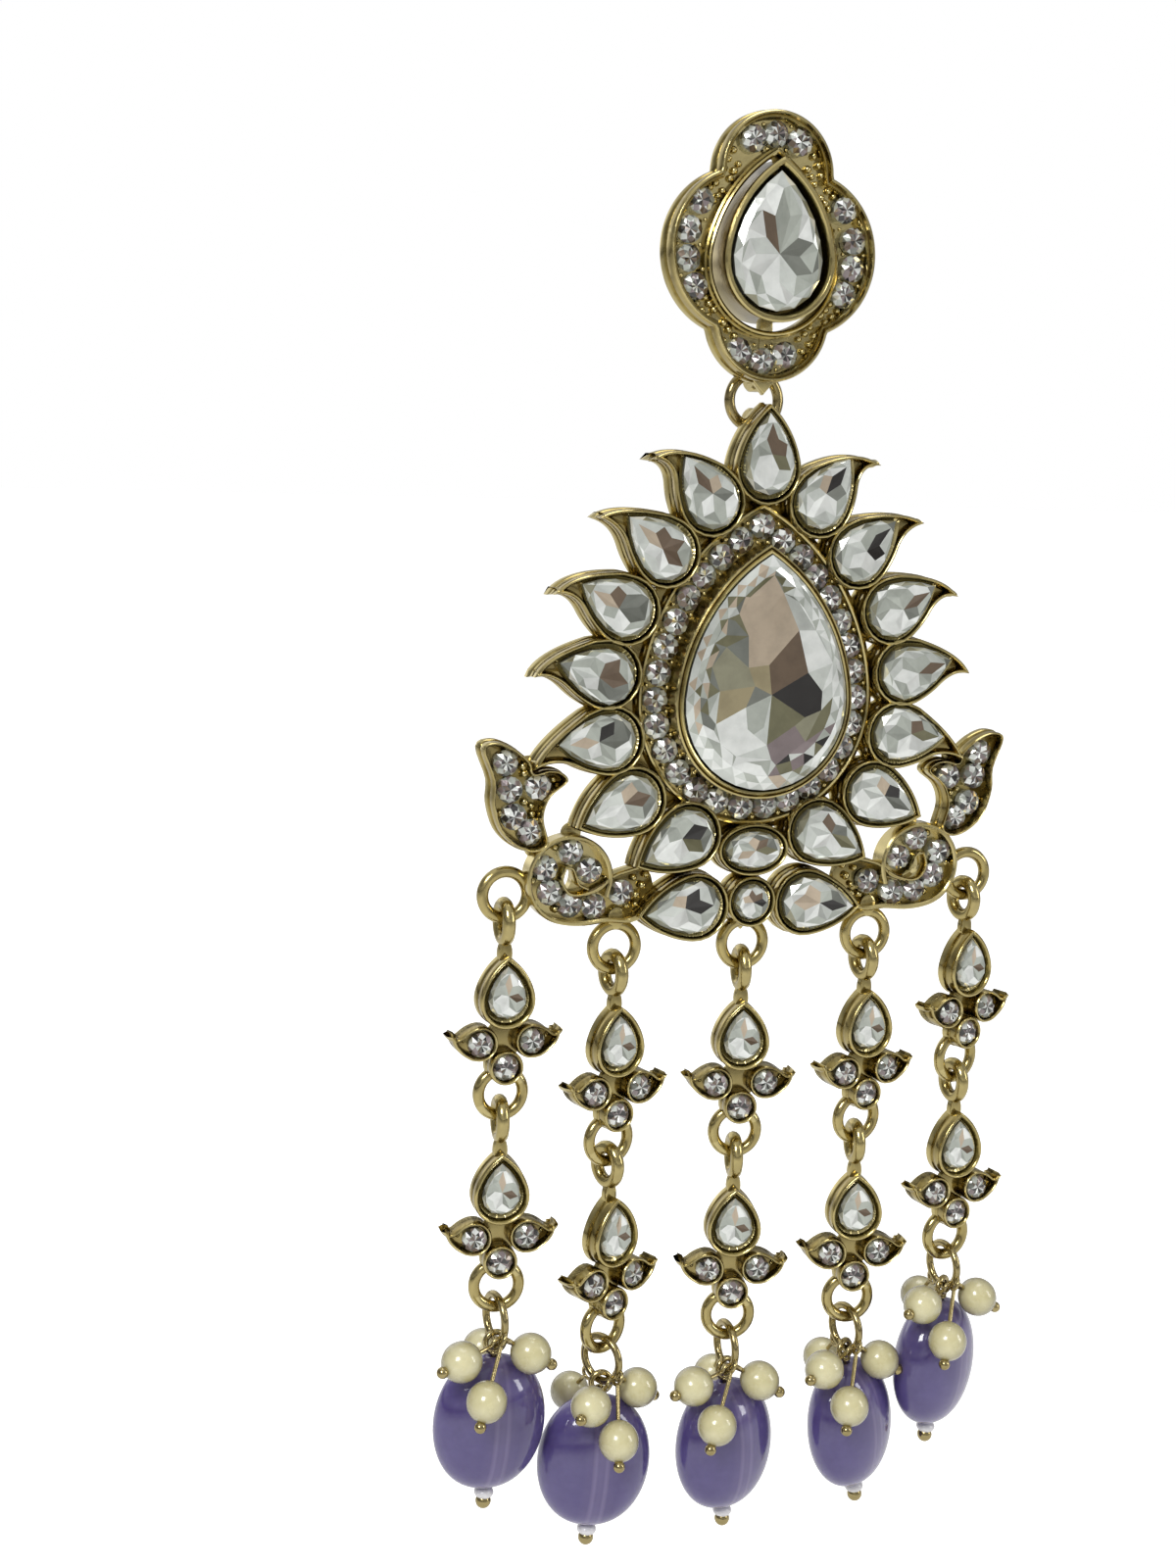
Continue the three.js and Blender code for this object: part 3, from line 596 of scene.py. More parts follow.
def facet_look(name, metallic, roughness, coat):
    """Foil or paste whose facets each carry a tint, a painted reflection of the surroundings."""
    look = new_look(name)
    facet = look.add("Attribute", "Color", attribute_name="facet")
    streaks = look.ramp(look.noise(700), (0.35, 0.85), (0.6, 1.0))
    return look.finished({
        "Base Color": look.mixed(1.0, facet, streaks, "MULTIPLY"),
        "Roughness": look.ramp(look.noise(1500), (0.3, roughness), (0.7, roughness + 0.08)),
        "Metallic": metallic,
        "Coat Weight": coat,
        "Coat Roughness": 0.02,
    })


def pearl_look():
    look = new_look("pearl")
    cloud = look.ramp(look.noise(500), (0.3, (0.68, 0.62, 0.34)), (0.7, (0.84, 0.79, 0.50)))
    return look.finished({
        # painted shade: the pearl's colour darkens to olive brown where it turns away from view, towards its rim
        "Base Color": look.mixed(look.rim(0.45), cloud, (0.13, 0.10, 0.03)),
        "Roughness": look.ramp(look.noise(900), (0.3, 0.2), (0.7, 0.32)),
        "Coat Weight": 0.9,
        "Coat Roughness": 0.14,
        "Subsurface Weight": 0.1,
        "Subsurface Radius": (0.5 * MM, 0.4 * MM, 0.25 * MM),
        "Subsurface Scale": 1.0,
    })


def bead_look():
    """Translucent lavender with a pale channel down the middle, drawn in the bead's own frame."""
    look = new_look("lavender_bead")
    away = look.add("Math", 0, {0: look.part("Object", "X")}, operation="ABSOLUTE")
    shares = look.add("Math", 0, {0: away, 1: 1 / (2.0 * MM)}, operation="MULTIPLY")
    lines = look.ramp(shares, (0.0, 0.26), (0.12, 0.24), (0.2, 0.5), (0.25, 0.44), (0.36, 0.12), (0.7, 0.0))
    cloud = look.ramp(look.noise(260), (0.3, (0.07, 0.05, 0.17)), (0.7, (0.115, 0.095, 0.25)))
    # painted sheen: the body turns a lighter, bluer lavender where it turns away from view, towards its rim
    body = look.mixed(look.rim(0.3), cloud, (0.12, 0.09, 0.29))
    return look.finished({
        "Base Color": look.mixed(lines, body, (0.26, 0.22, 0.38)),
        "Roughness": look.ramp(look.noise(700), (0.3, 0.07), (0.7, 0.14)),
        "Subsurface Weight": 0.35,
        "Subsurface Radius": (1.2 * MM, 0.9 * MM, 2.2 * MM),
        "Subsurface Scale": 1.0,
        "Coat Weight": 0.6,
        "Coat Roughness": 0.03,
        "Normal": look.bump(380, 2.0, 0.2, 0.08 * MM),
    })


def cap_look():
    look = new_look("white_cap")
    tint = look.ramp(look.noise(900), (0.3, (0.72, 0.70, 0.72)), (0.7, (0.85, 0.84, 0.85)))
    return look.finished({"Base Color": tint, "Roughness": 0.18, "Coat Weight": 0.5})


# each gold: its bright plating, the recesses' painted shade and tarnish, the edges' painted highlight and wear,
# and the occlusion range of that shade
GOLD = gold_look("antique_gold", (0.37, 0.285, 0.09), (0.10, 0.062, 0.010), (0.66, 0.56, 0.27), (0.12, 0.85))
WIRE = gold_look("gold_wire", (0.36, 0.285, 0.12), (0.06, 0.042, 0.012), (0.5, 0.41, 0.2), (0.2, 0.9))
CRYSTAL = facet_look("crystal", 0.45, 0.06, 0.4)
PASTE = facet_look("paste", 0.35, 0.12, 1)
PEARL = pearl_look()
LAVENDER = bead_look()
CAP = cap_look()

# ---- stones ----

# painted reflections: the tones that the stones' facets take from their surroundings, from white glints to
# charcoal
REFLECTION_TINTS = {
    "white": (0.92, 0.94, 0.90),
    "silver": (0.70, 0.73, 0.68),
    "mist": (0.50, 0.53, 0.47),
    "grey": (0.22, 0.23, 0.20),
    "charcoal": (0.035, 0.032, 0.03),
    "brown": (0.17, 0.12, 0.08),
    "beige": (0.56, 0.46, 0.34),
    "olive": (0.20, 0.19, 0.11),
    "mauve": (0.27, 0.22, 0.22),
    "tan": (0.40, 0.34, 0.20),
    "khaki": (0.33, 0.32, 0.22),
}


def big_stone(points, base, front, sides, seed, point=(0, 0), relief=0.12):
    """A stone in an outline that starts at its tip: kites round a point, inside a border of small facets, each
    tinted with a painted reflection.

    base and front are the forward distances of its back and its table.
    """
    stones, dice = Model(), random.Random(seed)
    relief *= dice.uniform(0.8, 1.5)
    turn = dice.uniform(-35, 35)
    p = counterclockwise(points)
    if not np.allclose(p[0], points[0]):
        p = np.roll(p, 1, axis=0)
    middle = (p.max(0) + p.min(0)) / 2 + np.array(point)
    n = sides

    def ring(reach, forward, count, shift=0.0, jitter=0.0):
        made = []
        for i in range(count):
            at = middle + (along(p, (i + shift) / count) - middle) * (reach + dice.uniform(-jitter, jitter))
            made.append((at[0], -forward - dice.uniform(-jitter, jitter), at[1]))
        return made

    inner, outer, edge, girdle, foot = 1, 1 + n, 1 + 2 * n, 1 + 4 * n, 1 + 6 * n
    made = [(middle[0], -(front - relief), middle[1])]
    made += ring(0.5, front - relief * 0.25, n, -0.5, 0.07)
    made += ring(0.77, front, n, 0, 0.02)
    made += ring(0.88, front - 0.06, 2 * n, -0.5, 0.015)
    made += ring(1.0, front - 0.4, 2 * n)
    made += ring(0.99, base, 2 * n)
    faces, colours = [], []

    def facet(corners, row):
        centre = np.mean([made[c] for c in corners], axis=0)
        angle = math.degrees(math.atan2(centre[2] - middle[1], centre[0] - middle[0])) % 360
        faces.append(corners)
        colours.append(REFLECTION_TINTS[facet_reflection((angle + turn) % 360, row, dice)])

    m = 2 * n
    for i in range(n):
        after, before = (i + 1) % n, (i - 1) % n
        facet((0, inner + i, outer + i, inner + after), 0)
        facet((inner + i, outer + before, edge + 2 * i, outer + i), 1)
        facet((outer + i, edge + 2 * i, edge + 2 * i + 1), 1)
        facet((outer + i, edge + 2 * i + 1, edge + (2 * i + 2) % m), 1)
    for j in range(m):
        after = (j + 1) % m
        facet((edge + j, girdle + j, edge + after), 2)
        facet((edge + after, girdle + j, girdle + after), 2)
        facet((girdle + j, foot + j, foot + after, girdle + after), 3)
    facet(tuple(foot + j for j in range(m)), 3)
    stones.add(made, faces, colours)
    return stones


# Painted reflections by a facet's direction in degrees: where a sector ends, and its tints near the point and
# away from it.
REFLECTION_SECTORS = [
    (48, "charcoal brown grey", "silver grey mist"),
    (140, "beige brown mist", "mist silver white"),
    (200, "mist silver beige", "silver white mist"),
    (290, "white", "silver white mist"),
    (335, "silver mist olive", "silver white mist"),
    (360, "charcoal brown grey", "silver grey mist"),
]


def facet_reflection(angle, row, dice):
    """Painted reflections: white to the lower left, dark to the right, beige above; rows run from the point to
    the side.
    """
    if row == 3:
        return "grey"
    if row == 2:
        return dice.choice("white silver mist silver mist khaki grey".split())
    angle = (angle + dice.uniform(-14, 14)) % 360
    near, far = next(names for last, *names in REFLECTION_SECTORS if angle < last)
    names = (near if row == 0 else far).split()
    return dice.choice(names) if len(names) > 1 else names[0]


def small_stone(stones, x, z, base, diameter, dice, height=0.85):
    """A round stone: a star of facets in a crown of small ones, a little out of true, each facet tinted with a
    painted reflection or glint.
    """
    n, m, r = 8, 16, diameter / 2
    start = dice.uniform(0, 2 * math.pi)
    lean_x, lean_z = dice.uniform(-0.1, 0.1), dice.uniform(-0.1, 0.1)
    x, z = x + dice.uniform(-0.04, 0.04), z + dice.uniform(-0.04, 0.04)

    def ring(reach, depth, count, shift=0.0):
        made = []
        for i in range(count):
            angle = start + 2 * math.pi * (i + shift) / count
            px, pz = r * reach * math.cos(angle), r * reach * math.sin(angle)
            made.append((x + px, -(base + height * depth + lean_x * px + lean_z * pz), z + pz))
        return made

    table, crown, girdle, foot = 1, 1 + m, 1 + m + n, 1 + 2 * m + n
    points = [(x, -(base + height * 0.8), z)]
    points += ring(0.5, 1.0, m) + ring(0.79, 0.86, n, 0.5) + ring(1.0, 0.6, m) + ring(0.97, 0.0, m)
    faces, colours = [], []

    def facet(corners, names):
        faces.append(corners)
        colours.append(REFLECTION_TINTS[dice.choice(names.split())])

    for j in range(m):
        facet((0, table + j, table + (j + 1) % m), "white charcoal silver brown grey charcoal mauve")
    around = "silver mauve mist grey mauve brown charcoal white"
    for i in range(n):
        middle, before = crown + i, crown + (i - 1) % n
        a, b, c = 2 * i, 2 * i + 1, (2 * i + 2) % m
        facet((table + a, table + b, middle), around)
        facet((table + b, table + c, middle), around)
        facet((table + a, before, girdle + a, middle), around)
        facet((middle, girdle + a, girdle + b), "mist grey mauve brown")
        facet((middle, girdle + b, girdle + c), "mist grey silver charcoal")
    for j in range(m):
        after = (j + 1) % m
        facet((girdle + j, girdle + after, foot + after, foot + j), "grey mist")
    facet(tuple(foot + j for j in range(m)), "grey")
    stones.add(points, faces, colours)


def prongs(model, stones, forward, radius, clearance, dice):
    """Small beads of metal in the gaps between neighbouring stones, on both sides of their row."""
    for (x0, z0), (x1, z1) in zip(stones, stones[1:]):
        middle = np.array([(x0 + x1) / 2, (z0 + z1) / 2])
        way = np.array([x1 - x0, z1 - z0])
        side = np.array([way[1], -way[0]]) / np.linalg.norm(way)
        for sign in (-1, 1):
            at = middle + side * sign * clearance
            ball(model, (at[0], -forward, at[1]), radius * dice.uniform(0.85, 1.1))


# ---- the stud ----


def polar(points, angles):
    """Where rays from the origin leave an outline."""
    p = counterclockwise(points)
    found = np.unwrap(np.arctan2(p[:, 1], p[:, 0]))
    order = np.argsort(found)
    reach = np.hypot(p[:, 0], p[:, 1])
    r = np.interp(angles, found[order], reach[order], period=2 * math.pi)
    return np.stack([r * np.cos(angles), r * np.sin(angles)], 1)


def quatrefoil(angles):
    """The stud's outline: along each ray, the farthest of its lobes."""
    points = []
    for angle in angles:
        c, s = math.cos(angle), math.sin(angle)
        reaches = []
        for x, z, r in STUD["lobes"]:
            along_ray, off = x * c + z * s, x * s - z * c
            if abs(off) < r:
                reaches.append(along_ray + math.sqrt(r * r - off * off))
        points.append((max(reaches) * c, max(reaches) * s))
    return points


def stud():
    casting, pave = Model(), Model()
    dice = random.Random(11)
    angles = np.linspace(0, 2 * math.pi, 240, endpoint=False)
    outline = quatrefoil(angles)
    window = sized_pear(STUD["window"], 40)
    inner = polar(window, angles)
    swept(casting, outline, [
        *stepped_side(CAST_BACK, STUD["rim"]), (-0.14, 3.62), (-0.24, 3.6), (-0.3, 3.46), (-0.36, 3.3),
        (-0.48, 3.3), (-0.56, 3.2), (-0.62, 2.8), (-0.62, CAST_BACK),
    ])
    swept(casting, inner, [
        (-0.02, CAST_BACK), (-0.02, 3.3), (0.06, 3.46), (0.18, 3.52), (0.3, 3.44), (0.36, 3.2), (0.5, 3.1),
        (0.56, 2.7), (0.56, CAST_BACK),
    ])
    inset = np.array(outline) * (1 - 0.3 / 8)
    ring_plate(casting, inset, inner * 1.03, CAST_BACK + 0.03, STUD["floor"])
    for x, z in STUD_STONES:
        small_stone(pave, x, z, STUD["floor"], PAVE, dice, 0.95)
    for row in (STUD_STONES[:3], STUD_STONES[3:7], STUD_STONES[7:11], STUD_STONES[11:]):
        prongs(casting, row, STUD["floor"] + 0.5, 0.17, 0.85, dice)
    for x, z in NOTCHES:
        start = math.atan2(z, x)
        for k in (-3, -2, -1, 1, 2, 3):
            angle = start + math.radians(5.2 * k)
            ray = np.array([[math.cos(angle), math.sin(angle)]])
            far = quatrefoil([angle])[0]
            near = polar(window, np.array([angle]))[0]
            for share in (0.34, 0.66):
                at = near + (np.array(far) - near) * share
                ball(casting, (at[0], -(STUD["floor"] + 0.15), at[1]), 0.29 * dice.uniform(0.85, 1.1))
    cup = STUD["cup"]
    swept(casting, sized_pear(cup, 32), [
        (-0.35, cup["back"]), (0, cup["back"] + 0.35), (0, 3.9), (0.06, 4.3), (0.05, 4.6), (-0.08, 4.72),
        (-0.28, 4.72), (-0.44, 4.58), (-0.5, 4.3), (-0.6, 3.4), (-0.7, 2.2), (-0.7, cup["back"] + 0.1),
    ])
    plate(casting, sized_pear(cup, 32, (0.6, 0.8)), cup["back"], 2.3)
    strut = [(-0.6, -8.0), (0.6, -8.0), (0.5, -4.6), (-0.5, -4.6)]
    plate(casting, strut, CAST_BACK + 0.1, 2.6)
    plate(casting, [(-1.3, -9.0), (0, -10.5), (1.3, -9.0)], CAST_BACK + 0.2, 2.5, 0.1)
    eye(casting, (0, -RING["forward"], RING["top"]), HOLDER["stud"], HOLDER["hole"], HOLDER["thickness"])
    piece("stud_casting", casting, GOLD, STUD_BODY, "antique_gold", ["stud_frame"])
    size = STUD["stone"]
    points = pear(size["width"], size["length"], cup["shoulder"], 32, -0.15, cup["z"] - 0.1)
    stone = big_stone(points, size["back"], size["front"], 9, 5, (0, -0.9), 0.2)
    piece("stud_gem", stone, CRYSTAL, STUD_BODY, "crystal", ["stud_stone"], smooth=False)
    piece("stud_pave", pave, PASTE, STUD_BODY, "crystal", smooth=False)


def ear_post():
    model = Model()
    r, length, pad = POST["radius"], POST["length"], POST["pad"]
    thick = POST["pad_thickness"]
    turned(model, [
        (0.3, -thick), (pad - 0.12, -thick), (pad, -thick + 0.12), (pad, -0.12), (pad - 0.12, 0),
        (r + 0.35, 0), (r + 0.06, 0.18), (r, 0.5),
        (r, length - 2.3), (r - 0.12, length - 2.1), (r - 0.12, length - 1.8), (r, length - 1.6),
        (r, length - 0.6), (r - 0.1, length - 0.2), (0.12, length),
    ], (0, 0, 0), (0, 1, 0), 28)
    piece("post_and_pad", model, WIRE, STUD_BODY, "gold_wire", ["ear_post"])


def jump_ring():
    model = Model()
    middle = (0, -RING["forward"], RING["top"] - RING["radius"])
    hoop(model, middle, RING["radius"], (0, 1, 0), RING["wire"], 16, 64)
    piece("ring_wire", model, WIRE, RING_BODY, "gold_wire", ["jump_ring"])


# ---- the frame ----


def cup_floor_and_wall(casting, outside, front, thick=WALL):
    plate(casting, outside, CAST_BACK, front - 0.65, 0.2)
    wall(casting, outside, CAST_BACK + 0.2, front, thick)


def serrated_ledge(casting, points, forward, width=0.34, depth=0.16):
    """A ledge inside a cup's wall, cut into fine teeth that point at the stone."""
    p = counterclockwise(points)
    count = 120
    ring = np.array([along(p, i / count) for i in range(count)])
    teeth = np.where(np.arange(count) % 2 == 0, 0.0, 1.0)
    reach = -width * (0.75 + 0.25 * teeth)
    tops = [(0, forward - 0.5), (0, forward + 0.1), (reach, forward - depth * teeth), (reach, forward - 0.5)]
    casting.rings(offsets(ring, outward(ring), tops), loop=True)


def petal(casting, gems, name, row, side, seed):
    """One petal: a hooked cup with a serrated ledge, and its stone a little out of true."""
    x, z, turn, reach, hook = row
    width, length = PETAL["width"], PETAL["length"]
    outside = (
        hooked_pear(width + 2 * WALL, length + PEAR_WALL * WALL, PETAL["shoulder"], reach, hook)
        if reach
        else pear_around(PETAL, WALL, steps=14)
    )
    inside = pear_around(PETAL, 0.12, steps=16)
    dice = random.Random(seed)
    stone = pear(width - 0.15, length - 0.2, PETAL["shoulder"], 20, 0, 0, dice.uniform(-2.5, 2.5))
    stone = placed(stone, 0, dice.uniform(-0.12, 0.12), dice.uniform(-0.14, 0.1))
    outside, inside, stone = (on_frame(placed(points, turn, x, z)) for points in (outside, inside, stone))
    if side < 0:
        tip_first = [(-px, pz) for px, pz in stone]
        outside, inside, stone = mirrored(outside), mirrored(inside), tip_first
    cup_floor_and_wall(casting, outside, PETAL["front"], 0.44)
    serrated_ledge(casting, inside, 3.75)
    gems.append((name, big_stone(stone, PETAL["back"], PETAL["top"] + dice.uniform(-0.1, 0.12), 6, seed)))


# Walls on a curl's floor: steps between points, its front and thickness, and the points of its middle.
CURL_RIM = (4, 3.65, 0.36, (13.2, -18.1), (11.4, -17.95), (9.6, -18.05), (8.1, -17.3), (7.4, -16.0))
CURL_WALLS = [
    (5, 3.5, 0.3, (13.2, -16.0), (12.0, -15.6), (11.0, -14.75), (9.8, -14.35), (8.2, -14.0)),
    (5, 3.55, 0.26, (14.7, -13.95), (14.95, -14.9), (14.5, -15.75), (13.7, -16.0), (12.6, -15.75), (11.7, -15.3)),
    (5, 3.5, 0.22, (14.7, -13.95), (14.15, -14.05), (13.85, -14.7), (13.6, -15.25), (12.9, -15.6)),
]


def scroll(casting, pave, side, dice):
    """One scroll: its upright leaf, and the curl whose tail runs in under the lower petals."""
    middle_x, middle_z, radius, floor = (SCROLL[key] for key in ("x", "z", "radius", "floor"))

    def turned_side(points):
        return on_frame(points if side > 0 else [(-x, z) for x, z in points])

    def on_curl(t):
        return middle_x + radius * math.cos(t), middle_z + radius * math.sin(t)

    leaf = turned_side(rounded(SCROLL_LEAF, 4))
    plate(casting, leaf, CAST_BACK + 0.04, floor)
    wall(casting, leaf, CAST_BACK + 0.2, SCROLL["front"] + 0.05, 0.36)
    plate(casting, turned_side(rounded(SCROLL_TAIL, 4)), CAST_BACK + 0.12, floor - 0.06)
    curl = [on_curl(t) for t in turns(60)]
    hole = [(14.3 + 0.42 * math.cos(t) - 0.12 * math.sin(t), -14.9 + 0.85 * math.sin(t)) for t in turns(60)]
    ring_plate(casting, turned_side(curl), turned_side(hole), CAST_BACK, floor)
    arc = [on_curl(math.radians(t)) for t in range(205, -100, -24)]
    for steps, top, thick, *path in [(*CURL_RIM[:3], *arc, *CURL_RIM[3:]), *CURL_WALLS]:
        points = turned_side(rounded(path, steps, closed=False))
        if side < 0:
            points = points[::-1]
        swept(casting, points, [
            (thick / 2, floor - 0.3), (thick / 2, top - 0.12), (thick / 5, top),
            (-thick / 5, top), (-thick / 2, top - 0.12), (-thick / 2, floor - 0.3),
        ], closed=False)
    for x, z in turned_side(SCROLL_STONES):
        small_stone(pave, x, z, floor, PAVE, dice, 1.0)
    for x, z in turned_side(SCROLL_BEADS):
        ball(casting, (x, -(floor + 0.2), z), 0.3 * dice.uniform(0.8, 1.15))
    for x, z, web in SCROLL_WEBS:
        for px, pz in turned_side([(x, z)]):
            plate(casting, ellipse(2 * web, 2 * web, px, pz, 20), CAST_BACK + 0.2, WEB["front"] - 0.1)


def cast_rings(casting):
    for _, x, z, *_ in STRANDS:
        place = (x, -STRAND_FORWARD, z + FRAME_Z)
        hoop(casting, place, LINK_RING["radius"], (0, 1, 0), LINK_RING["wire"], steps=48)
        is_outer = abs(x) > SCROLL["x"]
        root_x = x - math.copysign(2.2, x) if is_outer else x
        root_z = z + (0.4 if is_outer else 2.2)
        root = on_frame(ellipse(1.5, 1.8, root_x, root_z, 20))
        plate(casting, root, CAST_BACK + 0.3, STRAND_FORWARD + LINK_RING["wire"], 0.25)


def main_frame():
    casting, pave = Model(), Model()
    dice = random.Random(29)
    halo = sized_pear(HALO, 40, z=FRAME_Z)
    plate(casting, sized_pear(WEB, 40, z=FRAME_Z), CAST_BACK + 0.15, WEB["front"])
    plate(casting, halo, CAST_BACK + 0.1, FLOOR)
    swept(casting, halo, [
        (0.02, 2.0), (0.02, 3.25), (-0.06, 3.42), (-0.18, 3.48), (-0.3, 3.4), (-0.36, 3.2), (-0.36, 2.5),
    ])
    path = np.array(sized_pear(HALO_PATH, 60, z=FRAME_Z))
    count = HALO_PATH["stones"]
    stones = [tuple(along(path, i / count)) for i in range(count)]
    for x, z in stones:
        small_stone(pave, x, z, FLOOR - 0.05, PAVE, dice, 0.95)
    prongs(casting, [*stones, stones[0]], FLOOR + 0.45, 0.19, 0.8, dice)
    swept(casting, sized_pear(CENTRE, 48, z=FRAME_Z), [
        (0.04, 2.2), (0.02, 4.5), (0.06, 4.75), (0.02, 4.95), (-0.1, 5.02), (-0.18, 4.94), (-0.26, 5.1),
        (-0.36, 5.2), (-0.48, 5.16), (-0.56, 5.0), (-0.6, 4.6), (-0.62, 2.2),
    ])
    gems = []
    petal(casting, gems, "top", TOP_PETAL, 1, 100)
    for i, row in enumerate(PETALS):
        petal(casting, gems, f"right_{i + 1}", row, 1, 200 + i)
        petal(casting, gems, f"left_{i + 1}", row, -1, 300 + i)
    rounds = (
        ("oval", OVAL["width"], OVAL["height"], OVAL["z"], "oval_stone"),
        ("round", ROUND["diameter"], ROUND["diameter"], ROUND["z"], "round_stone"),
    )
    for name, width, height, z, node in rounds:
        outside, ledge, outline = (
            on_frame(ellipse(width + more, height + more, 0, z, 48)) for more in (2 * WALL, 0.2, -0.2)
        )
        cup_floor_and_wall(casting, outside, PETAL["front"], 0.44)
        serrated_ledge(casting, ledge, 3.75)
        stone = big_stone(outline, PETAL["back"], PETAL["top"], 7, len(name))
        piece(f"{name}_gem", stone, CRYSTAL, DROP_BODY, "crystal", [node], smooth=False)
    spine = on_frame(ellipse(SPINE["width"], SPINE["height"], 0, SPINE["z"], 32))
    plate(casting, spine, CAST_BACK + 0.25, WEB["front"] - 0.08)
    scroll(casting, pave, 1, dice)
    scroll(casting, pave, -1, dice)
    cast_rings(casting)
    ring_foot = (0, -RING["forward"], RING["top"] - 2 * RING["radius"])
    eye(casting, ring_foot, HOLDER["frame"], HOLDER["hole"], HOLDER["thickness"])
    piece("frame_casting", casting, GOLD, DROP_BODY, "antique_gold", ["main_frame"])
    piece("frame_pave", pave, PASTE, DROP_BODY, "crystal", smooth=False)
    for name, stone in gems:
        node = f"petal_stone_{name}"
        piece(f"petal_gem_{name}", stone, CRYSTAL, DROP_BODY, "crystal", [node], smooth=False)


def centre_stone():
    """The large pear: its named facets, small ones between them and the outline, and a border of small facets
    with painted sparkle; every tint is a painted reflection.
    """
    dice = random.Random(3)
    size = CENTRE_STONE
    outline = counterclockwise(sized_pear(size, 60))
    border, front = 40, size["front"]
    names = list(CENTRE_FACETS)
    between = [along(outline, (i + 0.5) / 30) * 0.78 for i in range(30)]
    edge = [along(outline, i / border) * 0.87 for i in range(border)]
    flat = [Vector(tuple(point)) for point in [*CENTRE_FACETS.values(), *between, *edge]]
    first = len(names) + len(between)
    rim = [(first + i, first + (i + 1) % border) for i in range(border)]
    shapes = [ccw_order([names.index(name) for name in corners.split()], flat) for corners, _ in CENTRE_FACES]
    cut = delaunay_2d_cdt(flat, rim, shapes, 0, 1e-5, True)
    made, triangles, parents = cut[0], cut[2], cut[5]

    def lifted(u, v, forward):
        return (u, -forward, v + CENTRE["z"] + FRAME_Z)

    points = []
    for x, z in made:
        reach = math.hypot(x / size["width"], z / size["length"]) * 2
        points.append(lifted(x, z, front - 0.12 * reach * reach - dice.uniform(0, 0.07)))
    colours = []
    # painted reflections: each facet's tint, named or drawn by where the facet lies on the stone
    for triangle, parent in zip(triangles, parents):
        x, z = sum((made[i] for i in triangle), Vector((0, 0))) / 3
        if parent:
            names = [CENTRE_FACES[parent[0]][1]]
        elif x > 1.5 and z > -2:
            names = "white silver white mist silver".split()
        elif x > 0 and z <= -2:
            names = "olive silver mauve mist charcoal".split()
        elif z < -4:
            names = "white silver mist white".split()
        else:
            names = "mist silver olive beige grey".split()
        colours.append(REFLECTION_TINTS[names[0] if parent else dice.choice(names)])
    model = Model()
    model.add(points, [tuple(triangle) for triangle in triangles], colours)

    # the border's rows from the edge of the flat part down to the back, each with a shift along the outline
    rows = [(0.87, front - 0.12, 0), (0.935, front - 0.32, 0.5), (1.0, front - 0.75, 0), (0.99, size["back"], 0)]
    points = [
        lifted(*(along(outline, (i + shift) / border) * reach), forward)
        for reach, forward, shift in rows
        for i in range(border)
    ]
    faces, colours = [], []
    for i in range(border):
        after = (i + 1) % border
        a, b, c, d, e, f, g, h = (row * border + k for row in range(4) for k in (i, after))
        faces += [(a, c, b), (b, c, d), (c, e, f), (c, f, d), (e, g, h, f)]
        upper, middle, lower = (centre_border_reflection(i / border, dice) for _ in range(3))
        colours += [REFLECTION_TINTS[name] for name in (upper, middle, "silver", lower, "grey")]
    faces.append(tuple(3 * border + i for i in range(border)))
    model.add(points, faces, [*colours, REFLECTION_TINTS["grey"]])
    piece("centre_gem", model, CRYSTAL, DROP_BODY, "crystal", ["centre_stone"], smooth=False)


def ccw_order(corners, flat):
    """The corners in the order that runs counterclockwise."""
    pairs = [(flat[a], flat[b]) for a, b in zip(corners, [*corners[1:], corners[0]])]
    return corners if sum(a.x * b.y - b.x * a.y for a, b in pairs) > 0 else corners[::-1]


def centre_border_reflection(share, dice):
    """Painted reflections of the border: whiter down the right side and at the lower left."""
    if share > 0.55 or 0.3 < share < 0.48:
        return dice.choice("white silver white mist".split())
    return dice.choice("mist silver olive silver beige".split())


# ---- the strands ----


